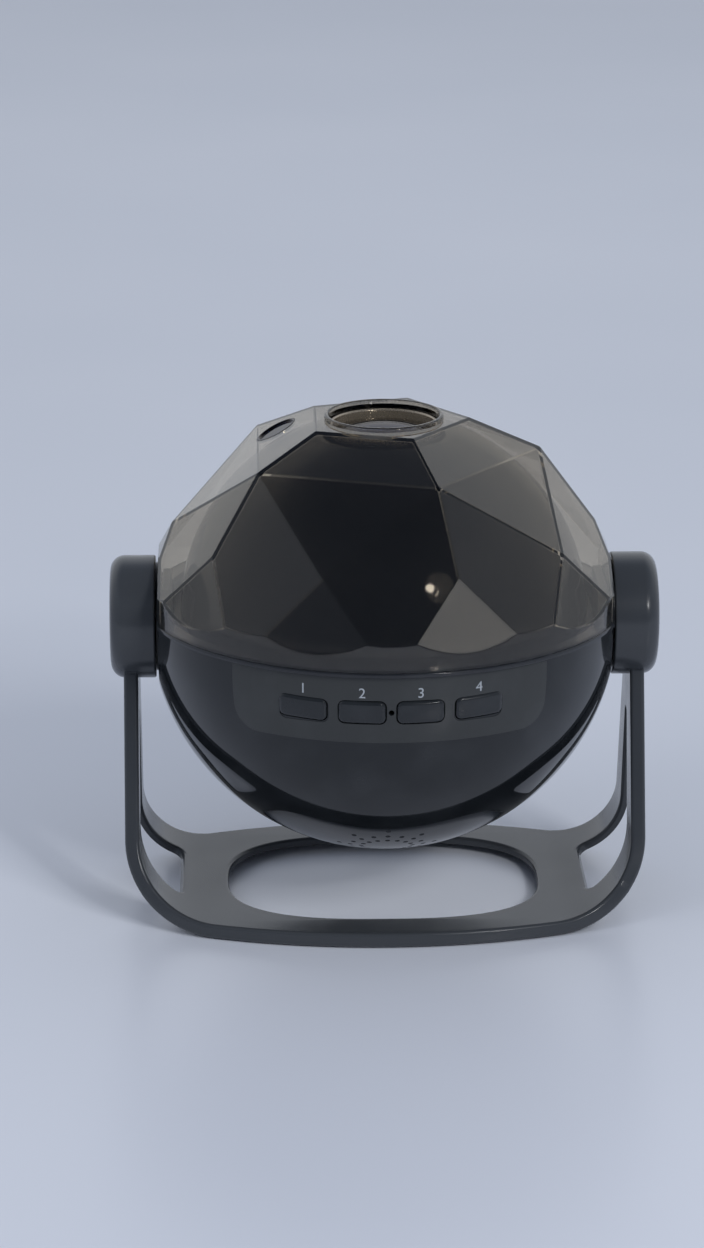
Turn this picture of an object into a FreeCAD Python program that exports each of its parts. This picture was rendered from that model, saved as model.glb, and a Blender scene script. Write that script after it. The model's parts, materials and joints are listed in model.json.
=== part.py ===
import FreeCAD, Part
import math
import os

from FreeCAD import Placement, Rotation, Vector

# Tilting star and nebula projector: a faceted, see-through dome on a smooth
# lower shell, hung between the two legs of a bent yoke stand.
# Millimetres, +Z up. The origin is on the floor, under the ball's centre.
# The hub axis runs along X, and the buttons face -Y.

# ------------------------------------------------------------ driving sizes
# Ball and its shells
ball_radius = 65.0
shell_wall = 2.2
dome_wall = 2.0
flat_depth = 2.8            # how far each pivot flat cuts into the ball
seam_height = 3.0           # top edge of the lower shell above the hub axis
trim_height = 1.4
trim_round = 0.55           # rounding of its outer edges
trim_step = 1.5             # how far the trim ring stands out of the ball
band_step = 1.3             # how far the dome's smooth band stands out
lip_depth = 2.0
lip_wall = 1.2

# Facets of the dome
facet_sink = 0.7            # facet corners lie this far inside the ball
crown_drop = 8.7            # flat top below the ball's top
crown_radius = 23.4
shoulder_angle = 48.2       # elevation of the shoulder corners, degrees
waist_angle = 25.05         # elevation of the waist corners, degrees
sides = 5
phase = 18.0                # turn of the facets from the front, degrees
short_edge_angle = 5.5      # half the short edge under each large facet
short_edge_height = 12.0    # that edge above the hub axis

# Pivots
collar_thickness = 0.6
collar_radius = 15.0
hub_radius = 17.0
hub_length = 12.5
hub_overhang = 3.5          # hub's end beyond the leg's outer face
hub_round = 4.0
pivot_radius = 7.0
pivot_end_gap = 0.2         # collar to hub
bearing_length = 4.0
flange_size = 20.0
flange_thickness = 2.2
recess_radius = 11.6
cap_radius = 12.8
cap_thickness = 1.5
cap_round = 0.4
wave_thickness = 1.1
washer_thickness = 1.0
washer_radius = 10.2
washer_gap = 0.4            # washers about the stub and the screw
screw_radius = 1.45
screw_length = 7.0
screw_head_radius = 3.6
screw_head_height = 2.2
cross_half_width = 0.5      # arms of the screw's cross recess
screw_room = 1.0            # bore beyond the screw's end

# Yoke stand
ball_clearance = 12.6       # ball to the top of the base
plate_edge = 4.0            # height of the moulded edge all round
web_thickness = 2.2
rim_width = 2.6
bend_radius = 24.0          # outside of the bend
base_half_depth = 44.5
leg_half_depth = 26.0       # plan half depth at the legs' outer faces
leg_neck = 10.0             # half depth of a leg where it leaves its hub
leg_spread = 17.4           # slant of a leg's edges from upright, degrees
bend_spread = 22.0          # the same around the bend, out to the base's bowed edges
window_half_width = 43.6
window_half_depth = 32.2
window_power = 2.72         # squareness of the window's outline
slot_reach = 14.0           # inner end of each leg slot, from the leg's outer face
slot_corner = 2.5
slot_top_half = 2.0         # half width and centre height of its round top
slot_top_height = 52.0
slot_bend_half = 9.0        # half width where the leg meets the bend
slot_end_half = 17.6        # half width at the inner end
slot_steps = 6              # straight steps of the slot's side around the bend
window_points = 40          # points on the window's outline
foot_proud = 0.4
foot_radius = 4.5
foot_thickness = 1.0
boss_border = 1.0           # pad that carries a foot, wider than it
foot_x = 46.0
foot_y = 29.5

# Buttons
button_width = 12.4
button_height = 6.2
button_corner = 1.6
button_pitch = 15.5
button_angle = 6.1          # below the hub axis, degrees
button_proud = 0.9
button_round = 0.45
button_play = 0.2           # stem to switch when fully pressed
button_travel = 0.7
button_gap = 0.3
button_flange = 1.2         # border of the flange behind the shell
button_flange_thickness = 1.3
stem_radius = 1.8
board_thickness = 1.6
button_board_gap = 2.3      # its front face to the outer buttons' flanges
button_board_half_width = 31.6
button_board_room = 0.58    # its upper edge below the middle frame
button_board_fall = 8.0
switch_size = 4.4
switch_height = 2.8
switch_plunger_radius = 1.2
switch_plunger_height = 0.7
receiver_hole_radius = 0.7
receiver_size = 4.0
receiver_height = 4.5
receiver_eye_share = 1.4    # eye of the receiver, to its pinhole
board_rib = 1.8

# Middle frame and optics
frame_thickness = 2.0
frame_gap = 3.2             # its rim inside the shell
sink_opening = 15.0
sink_gap = 0.5              # fins inside the frame's opening
inner_dome_gap = 9.6        # inner dome inside the ball's radius
inner_dome_wall = 1.6
roof_drop = 2.6             # roof of the inner dome below the crown's underside
lens_hole_gap = 0.3         # inner dome about the lens barrel
post_radius = 3.2
post_inset = 10.7           # screw posts inside the frame's rim
sink_radius = 17.5
sink_base = 2.5
fin_depth = 14.0
fin_thickness = 1.2
fin_pitch = 3.6
fin_count = 7
led_board_radius = 15.5
led_size = 3.5
led_height = 1.0
led_pitch = 5.0
barrel_wall = 2.0
barrel_drop = 34.3          # top of the barrel below the crown
shelf_height = 9.0
shelf_thickness = 1.5
shelf_width = 5.5
condenser_edge = 2.5
condenser_rise = 5.0
neck_wall = 1.7
neck_height = 4.4
gear_module = 0.8
wheel_teeth = 54
pinion_teeth = 12
gear_face = 3.0
gear_lift = 0.3             # wheel above the barrel's shoulder
running_gap = 0.06
disc_thickness = 2.0
disc_ledge = 1.0            # width of the ledge under the disc
ledge_thickness = 0.5
carrier_wall = 2.0
retainer_thickness = 0.8
plate_gap = 0.6
plate_thickness = 1.5
holder_floor = 0.7
holder_rim = 2.0
holder_leg_radius = 1.9
holder_leg_offset = 26.0
holder_leg_angles = (105, 225, 315)
motor_radius = 6.0
motor_drop = 1.5            # top of the motor's can below the barrel's
motor_nose_radius = 3.0
motor_angle = 45.0
motor_shaft_radius = 1.0
shaft_gap = 0.05
shaft_end = 0.6             # shaft beyond its pinion

# Gear teeth, as shares of the module and of a quarter pitch
tooth_addendum = 0.85
tooth_dedendum = 1.2
tooth_root_share = 1.25
tooth_pitch_share = 0.84
tooth_tip_share = 0.42

# Lens at the crown
rim_wall = 1.1              # raised rim of the dome around the bezel
rim_height = 1.3
rim_round = 0.4
bezel_bore = 14.0
bezel_wall = 1.1
bezel_drop = 1.1            # top of the bezel below the crown
bezel_flange = 1.7          # width of the flange under the crown
bezel_flange_thickness = 1.2
bezel_round = 0.3
bezel_shelf = 1.5           # ledge under the lens
bezel_depth = 10.9          # from the bezel's top to its lower end
lens_gap = 0.1
lens_edge = 5.0
lens_rise = 2.0
lens_drop = 0.5             # top of the lens below the bezel's

# Star laser behind its window
window_along = 3.0          # down the facet's slope from its middle
window_across = 9.5         # towards the back
window_radius = 6.0
window_thickness = 2.2
window_sink = 0.2           # window below the facet
star_wheel_gap = 0.55       # rim of the toothed wheel inside the inner dome
star_fit = 0.05
star_module = 0.5
star_wheel_teeth = 28
star_pinion_teeth = 10
star_wheel_face = 2.2
grating_radius = 4.4
grating_thickness = 0.6
sleeve_radius = 3.0
sleeve_bore = 2.2
bracket_gap = 0.5
bracket_thickness = 1.4
bracket_corner = 2.0
bracket_margin = 1.6
bracket_post_radius = 1.6
laser_radius = 4.0
laser_length = 8.4
star_motor_radius = 3.0
star_motor_length = 8.0
star_shaft_radius = 0.6

# Lower electronics and speaker
main_board_drop = 20.0      # underside of the board below the hub axis
main_board_radius = 44.0
board_post_radius = 3.0
board_post_inset = 10.8     # its posts inside the frame's posts
tongue_half_width = 9.0
socket_width = 8.94
socket_height = 3.26
socket_depth = 7.35
socket_shell = 0.35
socket_back = 1.0           # thickness behind its mouth
socket_inset = 1.0          # mouth behind the shell's inside
socket_gap = 0.35
socket_tongue = 0.7
socket_tongue_back = 0.8
speaker_radius = 15.0
speaker_ring_wall = 2.0
speaker_flange = 1.2
speaker_rise = 1.5          # underside of the speaker above its ring's foot
speaker_edge = 2.5          # width of the basket's flange
speaker_overlap = 1.0       # ring and dish under the flange
basket_height = 5.0
basket_wall = 1.0
magnet_radius = 9.0
magnet_height = 5.0
magnet_inset = 1.0          # magnet inside the basket's back plate
cone_thickness = 0.5
cone_depth = 3.0
cone_sink = 0.3
vent_radius = 0.7
grille_offset = 31.0        # grille's middle in front of the ball's
grille_rays = 16
long_ray = (7.0, 10.0, 13.0)
short_ray = (7.0, 10.0)
small_screw_head = 2.6
small_screw_height = 1.6
small_screw_radius = 1.1
small_screw_length = 7.0
screw_slot_half = 0.4
screw_slot_depth = 0.6

# Parts on the main board: x, y, width, depth, height
chip_sizes = [
    (-24.0, -4.0, 9.0, 9.0, 1.2),
    (-22.0, 12.0, 13.0, 10.0, 2.4),
    (20.0, -10.0, 6.0, 5.0, 1.6),
    (22.0, 4.0, 5.0, 4.0, 1.4),
    (2.0, -26.0, 14.0, 4.5, 3.4),
    (6.0, 26.0, 8.0, 3.0, 2.0),
]
# Capacitors on the main board: x, y, radius, height
capacitor_sizes = [
    (-8.0, 33.0, 2.5, 3.6),
    (24.0, 16.0, 3.0, 4.0),
    (30.0, 10.0, 2.0, 3.6),
]

# Clearances between pieces of one body
seat_gap = 0.1
free_gap = 0.6              # round pieces that only pass each other
overlap = 0.5               # depth to which joined pieces meet
overcut = 1.0               # length of a cut beyond the piece
tiny = 0.01                 # tolerance for picking edges
mostly_upright = 0.9        # share of an edge's direction that counts as upright

# ------------------------------------------------------------ derived places
base_top = foot_proud + plate_edge
hub_height = base_top + ball_clearance + ball_radius
flat_x = ball_radius - flat_depth
inner_flat_x = flat_x - shell_wall
hub_inner_x = flat_x + collar_thickness + pivot_end_gap
hub_outer_x = hub_inner_x + hub_length
leg_outer_x = hub_outer_x - hub_overhang
slot_start = leg_outer_x - slot_reach
trim_top = seam_height + trim_height
cavity_radius = ball_radius - shell_wall
band_radius = ball_radius + band_step
facet_radius = ball_radius - facet_sink
crown_height = ball_radius - crown_drop
bezel_outer = bezel_bore + bezel_wall
bezel_top = crown_height - bezel_drop
lens_low = bezel_top - lens_drop - lens_rise - lens_edge
aperture_radius = bezel_outer + seat_gap
inner_dome_radius = ball_radius - inner_dome_gap
frame_radius = cavity_radius - frame_gap
post_offset = (frame_radius - post_inset) * math.sqrt(0.5)
board_post_offset = post_offset - board_post_inset * math.sqrt(0.5)
barrel_height = crown_height - barrel_drop
motor_height = barrel_height - motor_drop
speaker_foot = speaker_radius + speaker_ring_wall
speaker_front = grille_offset + speaker_foot
speaker_drop = math.sqrt(cavity_radius ** 2 - speaker_front ** 2) - speaker_rise
button_slant = math.radians(button_angle)
flange_outer = cavity_radius - button_gap
flange_inner = flange_outer - button_flange_thickness
row_half_width = 1.5 * button_pitch + button_width / 2 + button_flange
row_half_height = button_height / 2 + button_flange
row_depth = math.sqrt(flange_inner ** 2 - row_half_width ** 2 - row_half_height ** 2)
button_board_depth = row_depth - button_board_gap
board_top_drop = frame_thickness + button_board_room
board_middle_drop = button_board_depth * math.sin(button_slant)
button_board_rise = (board_middle_drop - board_top_drop) / math.cos(button_slant)
wide = 4 * ball_radius      # larger than the whole part

centre = Vector(0, 0, hub_height)
axis_x = Vector(1, 0, 0)
axis_y = Vector(0, 1, 0)
axis_z = Vector(0, 0, 1)


# ------------------------------------------------------------ small helpers
def head(x, y, z):
    """Point given from the ball's centre."""
    return centre + Vector(x, y, z)


def rod(radius, start, end):
    """Round bar between two points."""
    way = end - start
    return Part.makeCylinder(radius, way.Length, start, way)


def ring(outer, inner, start, end):
    """Round tube between two points."""
    return rod(outer, start, end).cut(rod(inner, start, end))


def upright(radius, low, high, x=0.0, y=0.0):
    """Round bar along Z, with heights from the hub axis."""
    return rod(radius, head(x, y, low), head(x, y, high))


def upright_ring(outer, inner, low, high):
    """Round tube along Z about the ball's axis."""
    return ring(outer, inner, head(0, 0, low), head(0, 0, high))


def block(low, high):
    """Box between two corners."""
    size = high - low
    return Part.makeBox(size.x, size.y, size.z, low)


def ball(radius):
    """Sphere about the ball's centre."""
    return Part.makeSphere(radius, centre)


def slab(half_width):
    """Everything between two planes across X."""
    return block(Vector(-half_width, -wide, -wide), Vector(half_width, wide, wide))


def layer(low, high):
    """Everything between two heights from the hub axis."""
    return block(head(-wide, -wide, low), head(wide, wide, high))


def prism(points, way):
    """Straight-sided solid over a closed outline."""
    wire = Part.makePolygon(points + points[:1])
    return Part.Face(wire).extrude(way)


def upright_edges(shape):
    """Edges of a shape that run along Z."""
    return [e for e in shape.Edges if abs(e.tangentAt(e.FirstParameter).z) > mostly_upright]


def outer_rim(shape, x):
    """Full round edges of a turned piece at one X."""
    return [e for e in shape.Edges if abs(e.CenterOfMass.x - x) < tiny and len(e.Vertexes) == 1]


def rounded_bar(width, height, corner, length):
    """Rounded rectangle along Z from the origin, width along X."""
    low = Vector(-width / 2, -height / 2, 0)
    bar = Part.makeBox(width, height, length, low)
    return bar.makeFillet(corner, upright_edges(bar))


def turned(shape, way, origin):
    """Shape modelled along Z at the origin, set along another direction."""
    result = shape.copy()
    result.Placement = Placement(origin, Rotation(axis_z, way)).multiply(shape.Placement)
    return result


def mirrored(shape):
    """The same piece on the other side of the YZ plane."""
    return shape.mirror(Vector(0, 0, 0), axis_x)


def joined(shapes):
    """One solid from pieces that meet."""
    result = shapes[0].fuse(shapes[1:])
    return result.removeSplitter()


def lens_cap(radius, base, rise):
    """Spherical cap on a flat face of a lens, heights from the hub axis."""
    curve = (radius ** 2 + rise ** 2) / (2 * rise)
    bowl = Part.makeSphere(curve, head(0, 0, base + rise - curve))
    return bowl.common(upright(radius, base, base + rise))


def gear(module, teeth, face, half_tooth_first):
    """Spur gear along Z from the origin, with a tooth or a gap towards +X."""
    pitch = module * teeth / 2
    root = pitch - tooth_dedendum * module
    tip = pitch + tooth_addendum * module
    quarter = math.pi / (2 * teeth)
    start = 0.0 if half_tooth_first else 2 * quarter
    half = [(root, tooth_root_share), (pitch, tooth_pitch_share), (tip, tooth_tip_share)]
    profile = [(radius, -share) for radius, share in half] + list(reversed(half))
    points = []
    for tooth in range(teeth):
        middle = start + 4 * quarter * tooth
        for radius, share in profile:
            angle = middle + share * quarter
            points.append(Vector(radius * math.cos(angle), radius * math.sin(angle), 0))
    return prism(points, Vector(0, 0, face))


def save(name, shape):
    """Write one node, and say how many solids it holds."""
    shape.exportStep("parts/" + name + ".step")
    print(name, len(shape.Solids), "solids", round(shape.Volume, 1), "mm3", shape.isValid())


# ------------------------------------------------------------ yoke stand
def bent_plate(low_offset, high_offset):
    """U of the yoke between two offsets from its outside, long along Y."""
    def profile(offset):
        x = leg_outer_x - offset
        bottom = foot_proud + offset
        radius = bend_radius - offset
        bend_x = leg_outer_x - bend_radius
        bend_z = foot_proud + bend_radius
        top = hub_height + hub_radius
        slant = radius * math.sqrt(0.5)
        left = Part.Arc(
            Vector(-x, -wide / 2, bend_z),
            Vector(-bend_x - slant, -wide / 2, bend_z - slant),
            Vector(-bend_x, -wide / 2, bottom),
        )
        right = Part.Arc(
            Vector(bend_x, -wide / 2, bottom),
            Vector(bend_x + slant, -wide / 2, bend_z - slant),
            Vector(x, -wide / 2, bend_z),
        )
        left_side = Part.LineSegment(Vector(-x, -wide / 2, top), Vector(-x, -wide / 2, bend_z))
        floor_side = Part.LineSegment(Vector(-bend_x, -wide / 2, bottom), Vector(bend_x, -wide / 2, bottom))
        right_side = Part.LineSegment(Vector(x, -wide / 2, bend_z), Vector(x, -wide / 2, top))
        lid = Part.LineSegment(Vector(x, -wide / 2, top), Vector(-x, -wide / 2, top))
        parts = [left_side, left, floor_side, right, right_side, lid]
        wire = Part.Wire([part.toShape() for part in parts])
        return Part.Face(wire).extrude(Vector(0, wide, 0))
    return profile(low_offset).cut(profile(high_offset))


def plan_outline(inset):
    """Upright prism over the base's outline, with bowed front and back."""
    drop = base_half_depth - leg_half_depth
    bow = (leg_outer_x ** 2 + drop ** 2) / (2 * drop) - inset
    front = Part.makeCylinder(bow, wide, Vector(0, bow + inset - base_half_depth, -wide / 4))
    back = Part.makeCylinder(bow, wide, Vector(0, base_half_depth - inset - bow, -wide / 4))
    return front.common(back)


def leg_outline(inset, length):
    """Prism along X over the side view: a round head, slanted edges, and all of the base."""
    radius = hub_radius - inset
    slant = math.radians(leg_spread)
    start = -length / 2
    neck_z = hub_height - math.sqrt(hub_radius ** 2 - leg_neck ** 2)
    neck = leg_neck - inset / math.cos(slant)
    bend_z = foot_proud + bend_radius
    bend = Vector(start, neck + (neck_z - bend_z) * math.tan(slant), bend_z)
    flare = (bend_z - base_top) * math.tan(math.radians(bend_spread))
    right = [
        Vector(start, neck - (hub_height - neck_z) * math.tan(slant), hub_height),
        bend,
        Vector(start, bend.y + flare, base_top),
        Vector(start, wide / 4, base_top),
        Vector(start, wide / 4, -overcut),
    ]
    left = [Vector(start, -point.y, point.z) for point in reversed(right)]
    sides_part = prism(right + left, Vector(length, 0, 0))
    round_head = rod(radius, Vector(start, 0, hub_height), Vector(-start, 0, hub_height))
    return sides_part.fuse(round_head)


def leg_slot():
    """Tall opening in the right leg, widening around the bend into the base."""
    bend_middle = foot_proud + bend_radius
    length = wide / 4
    end_angle = math.acos((slot_start - leg_outer_x + bend_radius) / bend_radius)
    outline = [(slot_top_half, slot_top_height)]
    for step in range(slot_steps + 1):
        share = step / slot_steps
        half = slot_bend_half + (slot_end_half - slot_bend_half) * share
        outline.append((half, bend_middle - bend_radius * math.sin(end_angle * share)))
    outline.append((slot_end_half, -overcut))
    right = [Vector(slot_start, half, height) for half, height in outline]
    left = [Vector(slot_start, -half, height) for half, height in reversed(outline)]
    body = prism(right + left, Vector(length, 0, 0))
    top = Vector(slot_start, 0, slot_top_height)
    body = body.fuse(rod(slot_top_half, top, top + axis_x * length))
    plan_low = Vector(slot_start, -slot_end_half, -overcut)
    plan = Part.makeBox(length, 2 * slot_end_half, wide, plan_low)
    inner_corners = [e for e in upright_edges(plan) if e.CenterOfMass.x < slot_start + tiny]
    return body.common(plan.makeFillet(slot_corner, inner_corners))


def base_window():
    """Rounded opening through the base, as a superellipse."""
    points = []
    for step in range(window_points):
        angle = 2 * math.pi * step / window_points
        share_x = abs(math.cos(angle)) ** (2 / window_power)
        share_y = abs(math.sin(angle)) ** (2 / window_power)
        x = math.copysign(window_half_width * share_x, math.cos(angle))
        y = math.copysign(window_half_depth * share_y, math.sin(angle))
        points.append(Vector(x, y, -overcut))
    curve = Part.BSplineCurve()
    curve.interpolate(points, PeriodicFlag=True)
    wire = Part.Wire([curve.toShape()])
    return Part.Face(wire).extrude(Vector(0, 0, base_top + 2 * overcut))


def hub_body():
    """Outside of the right hub, with its rounded outer edge."""
    body = rod(hub_radius, Vector(hub_inner_x, 0, hub_height), Vector(hub_outer_x, 0, hub_height))
    return body.makeFillet(hub_round, outer_rim(body, hub_outer_x))


def hub_cutouts():
    """Bearing bore, washer recess and cap seat of the right hub."""
    axis_point = Vector(hub_inner_x - overcut, 0, hub_height)
    wall_end = Vector(hub_inner_x + bearing_length, 0, hub_height)
    cap_seat = Vector(hub_outer_x - cap_thickness, 0, hub_height)
    outside = Vector(hub_outer_x + overcut, 0, hub_height)
    bore = rod(pivot_radius + shaft_gap, axis_point, wall_end)
    recess = rod(recess_radius, wall_end, cap_seat)
    seat = rod(cap_radius + seat_gap, cap_seat, outside)
    return bore.fuse([recess, seat])


def foot_boss(x, y):
    """Round pad under the web that carries one rubber foot."""
    top = foot_proud + plate_edge - web_thickness
    return rod(foot_radius + boss_border, Vector(x, y, foot_thickness), Vector(x, y, top + overlap))


def foot_places():
    """Centres of the four feet."""
    return [(x, y) for x in (-foot_x, foot_x) for y in (-foot_y, foot_y)]


def make_yoke():
    outline = plan_outline(0.0).common(leg_outline(0.0, wide))
    inner_outline = plan_outline(rim_width).common(leg_outline(rim_width, wide))
    web = bent_plate(plate_edge - web_thickness, plate_edge).common(outline)
    rim = bent_plate(0.0, plate_edge).common(outline).cut(inner_outline)
    hub = hub_body()
    bosses = [foot_boss(x, y).common(bent_plate(0.0, plate_edge)) for x, y in foot_places()]
    body = joined([web, rim, hub, mirrored(hub)] + bosses)
    slot = leg_slot()
    cutouts = hub_cutouts()
    cuts = [base_window(), slot, mirrored(slot), cutouts, mirrored(cutouts)]
    return body.cut(cuts).removeSplitter()


def make_feet():
    feet = [rod(foot_radius, Vector(x, y, 0), Vector(x, y, foot_thickness)) for x, y in foot_places()]
    return Part.makeCompound(feet)


def make_hub_cap():
    start = Vector(hub_outer_x - cap_thickness, 0, hub_height)
    end = Vector(hub_outer_x, 0, hub_height)
    cap = rod(cap_radius, start, end)
    return cap.makeFillet(cap_round, outer_rim(cap, hub_outer_x))


# ------------------------------------------------------------ pivots
def make_pivot_stub():
    """Flanged stub in the ball's right side, turning in the hub's bore."""
    end_x = hub_inner_x + bearing_length + wave_thickness + seat_gap
    flange_end = inner_flat_x - seat_gap
    low = Vector(flange_end - flange_thickness, -flange_size / 2, hub_height - flange_size / 2)
    high = Vector(flange_end, flange_size / 2, hub_height + flange_size / 2)
    shaft = rod(pivot_radius, Vector(flange_end, 0, hub_height), Vector(end_x, 0, hub_height))
    hole_start = Vector(end_x - screw_length - screw_room, 0, hub_height)
    hole = rod(screw_radius + shaft_gap, hole_start, Vector(end_x, 0, hub_height))
    return joined([block(low, high), shaft]).cut(hole)


def make_collar():
    start = Vector(flat_x, 0, hub_height)
    end = Vector(flat_x + collar_thickness, 0, hub_height)
    return ring(collar_radius, pivot_radius + seat_gap, start, end)


def washer_start():
    """Face of the bearing wall that the spring washer bears on."""
    return hub_inner_x + bearing_length


def make_wave_washer():
    start = Vector(washer_start(), 0, hub_height)
    end = Vector(washer_start() + wave_thickness, 0, hub_height)
    return ring(washer_radius, pivot_radius + washer_gap, start, end)


def make_pivot_washer():
    start = Vector(washer_start() + wave_thickness + seat_gap, 0, hub_height)
    end = start + axis_x * washer_thickness
    return ring(washer_radius, screw_radius + washer_gap, start, end)


def make_pivot_screw():
    head_start = Vector(washer_start() + wave_thickness + seat_gap + washer_thickness, 0, hub_height)
    screw_head = rod(screw_head_radius, head_start, head_start + axis_x * screw_head_height)
    shank_end = head_start - axis_x * (washer_thickness + screw_length)
    shank = rod(screw_radius, shank_end, head_start)
    middle = head_start + axis_x * (screw_head_height / 2)
    across = [Vector(0, screw_head_radius / 2, 0), Vector(0, 0, screw_head_radius / 2)]
    cross = [rod(cross_half_width, middle - way, middle + way) for way in across]
    recess = [part.translated(axis_x * (screw_head_height / 2)) for part in cross]
    return joined([screw_head, shank]).cut(recess)


def pivot_holes():
    """Holes for both stubs through everything at the ball's sides."""
    return rod(pivot_radius + seat_gap, head(-wide, 0, 0), head(wide, 0, 0))


# ------------------------------------------------------------ dome
def corner(radius, height, degrees):
    """Facet corner at an angle from the front, turning to the right."""
    angle = math.radians(degrees)
    return Vector(radius * math.sin(angle), -radius * math.cos(angle), height)


def crown_corner(index):
    return corner(crown_radius, crown_height, phase + 360 / sides * index)


def shoulder_corner(index):
    angle = math.radians(shoulder_angle)
    turn = phase + 360 / sides * index
    return corner(facet_radius * math.cos(angle), facet_radius * math.sin(angle), turn)


def waist_corner(index):
    angle = math.radians(waist_angle)
    turn = phase + 180 / sides * index
    return corner(facet_radius * math.cos(angle), facet_radius * math.sin(angle), turn)


def skirt_corner(index, side, height):
    """Point on a waist corner's slanted edge, carried down to a height."""
    above = shoulder_corner(0)
    right = waist_corner(0)
    left = waist_corner(-1)
    normal = (right - above).cross(left - above)
    turn = phase - 90 / sides
    low_turn = math.radians(turn + short_edge_angle)
    way = Vector(math.sin(low_turn), -math.cos(low_turn), 0)
    edge_radius = (normal.dot(above) - normal.z * short_edge_height) / normal.dot(way)
    low_point = way * edge_radius + axis_z * short_edge_height
    share = (height - right.z) / (low_point.z - right.z)
    point = right + (low_point - right) * share
    radius = math.hypot(point.x, point.y)
    offset = phase - math.degrees(math.atan2(point.x, -point.y))
    return corner(radius, height, phase + 180 / sides * index + side * offset)


def facets():
    """All facets of the dome as closed outlines about the ball's centre."""
    low = 0.0
    count = 2 * sides
    outlines = [[crown_corner(i) for i in range(sides)]]
    bottom = []
    for i in range(sides):
        crown = [crown_corner(i), crown_corner(i + 1)]
        shoulder = [shoulder_corner(i + 1), shoulder_corner(i)]
        outlines.append(crown + shoulder)
        outlines.append([shoulder_corner(i), shoulder_corner(i + 1), waist_corner(2 * i + 1)])
    for i in range(count):
        left_low = skirt_corner(i, 1, low)
        right_low = skirt_corner(i + 1, -1, low)
        shoulder = shoulder_corner((i + 1) // 2)
        outlines.append([shoulder, waist_corner(i), left_low, right_low, waist_corner(i + 1)])
        outlines.append([waist_corner(i), skirt_corner(i, -1, low), left_low])
        bottom += [skirt_corner(i, -1, low), left_low]
    outlines.append(bottom)
    return outlines


def faceted_solid(inset):
    """Solid inside all facets, each moved in by about the same distance."""
    face_distance = facet_radius * math.cos(math.radians(waist_angle) / 2)
    scale = (face_distance - inset) / face_distance
    faces = []
    for outline in facets():
        points = [centre + point * scale for point in outline]
        faces.append(Part.Face(Part.makePolygon(points + points[:1])))
    shell = Part.Shell(faces)
    solid = Part.Solid(shell)
    if solid.Volume < 0:
        solid.reverse()
    return solid


def star_facet():
    """Middle and outward normal of the facet that holds the star window."""
    left = [i for i in range(sides) if crown_corner(i).x < 0 and crown_corner(i + 1).x < 0][0]
    crown_middle = (crown_corner(left) + crown_corner(left + 1)) * 0.5
    shoulder_middle = (shoulder_corner(left) + shoulder_corner(left + 1)) * 0.5
    down = (shoulder_middle - crown_middle).normalize()
    across = Vector(0, 1, 0)
    normal = down.cross(across)
    if normal.z < 0:
        normal = normal * -1.0
    middle = (crown_middle + shoulder_middle) * 0.5
    place = middle + down * window_along + across * window_across
    return place, normal.normalize()


star_place, star_way = star_facet()
star_plane = star_place.dot(star_way)
star_offset = (star_place - star_way * star_plane).Length
star_wheel_reach = star_offset + star_module * (star_wheel_teeth / 2 + tooth_addendum)
star_wheel_room = inner_dome_radius - inner_dome_wall - star_wheel_gap
star_wheel_depth = star_plane - math.sqrt(star_wheel_room ** 2 - star_wheel_reach ** 2)


def star_point(depth, along=0.0, across=0.0):
    """Point behind the star window, at a depth along the laser's axis."""
    side_way = star_way.cross(axis_y)
    offset = side_way * along + axis_y * across
    return centre + star_place - star_way * depth + offset


def flat_rim(shape, height):
    """Full round edges of an upright turned piece at a height from the hub axis."""
    z = hub_height + height
    return [e for e in shape.Edges if len(e.Vertexes) == 1 and abs(e.CenterOfMass.z - z) < tiny]


def make_crown_rim():
    """Raised rim that the dome has around the lens."""
    top = crown_height + rim_height
    rim = upright(aperture_radius + rim_wall, crown_height - overlap, top)
    return rim.makeFillet(rim_round, flat_rim(rim, top))


def make_dome():
    outside = faceted_solid(0.0).common(upright(band_radius, trim_top, ball_radius))
    outside = joined([outside.common(slab(flat_x)), make_crown_rim()])
    inside = faceted_solid(dome_wall).common(upright(band_radius - dome_wall, 0.0, ball_radius))
    inside = inside.common(slab(inner_flat_x))
    aperture = upright(aperture_radius, 0.0, ball_radius)
    star_hole = rod(window_radius, star_point(inner_dome_gap / 2), star_point(-inner_dome_gap))
    return outside.cut([inside, aperture, star_hole, pivot_holes()])


def make_trim_ring():
    outer = ball_radius + trim_step
    band = upright_ring(outer, cavity_radius - lip_wall, seam_height, trim_top)
    edges = [e for e in band.Edges if len(e.Vertexes) == 1 and abs(e.Curve.Radius - outer) < tiny]
    band = band.makeFillet(trim_round, edges).common(slab(flat_x))
    lip_outer = cavity_radius - seat_gap * 2
    lip = upright_ring(lip_outer, lip_outer - lip_wall, seam_height - lip_depth, seam_height)
    lip = lip.common(slab(inner_flat_x - seat_gap))
    body = joined([band, lip])
    flange = flange_size / 2 + seat_gap
    stub_room = block(head(-wide, -flange, -flange), head(wide, flange, flange)).common(slab(inner_flat_x))
    return body.cut([pivot_holes(), stub_room])


# ------------------------------------------------------------ lower shell
button_way = Vector(0, -math.cos(button_slant), -math.sin(button_slant))
button_up = Vector(0, -math.sin(button_slant), math.cos(button_slant))
button_columns = [(index - 1.5) * button_pitch for index in range(4)]


def button_origin(x, distance):
    """Point on a button's axis, at a distance from the ball's centre plane."""
    return head(x, 0, 0) + button_way * distance


def button_bar(x, margin, start, end):
    """Rounded bar along a button's axis, wider than the button by a margin."""
    width = button_width + 2 * margin
    height = button_height + 2 * margin
    bar = rounded_bar(width, height, button_corner + margin, end - start)
    return turned(bar, button_way, button_origin(x, start))


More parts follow.
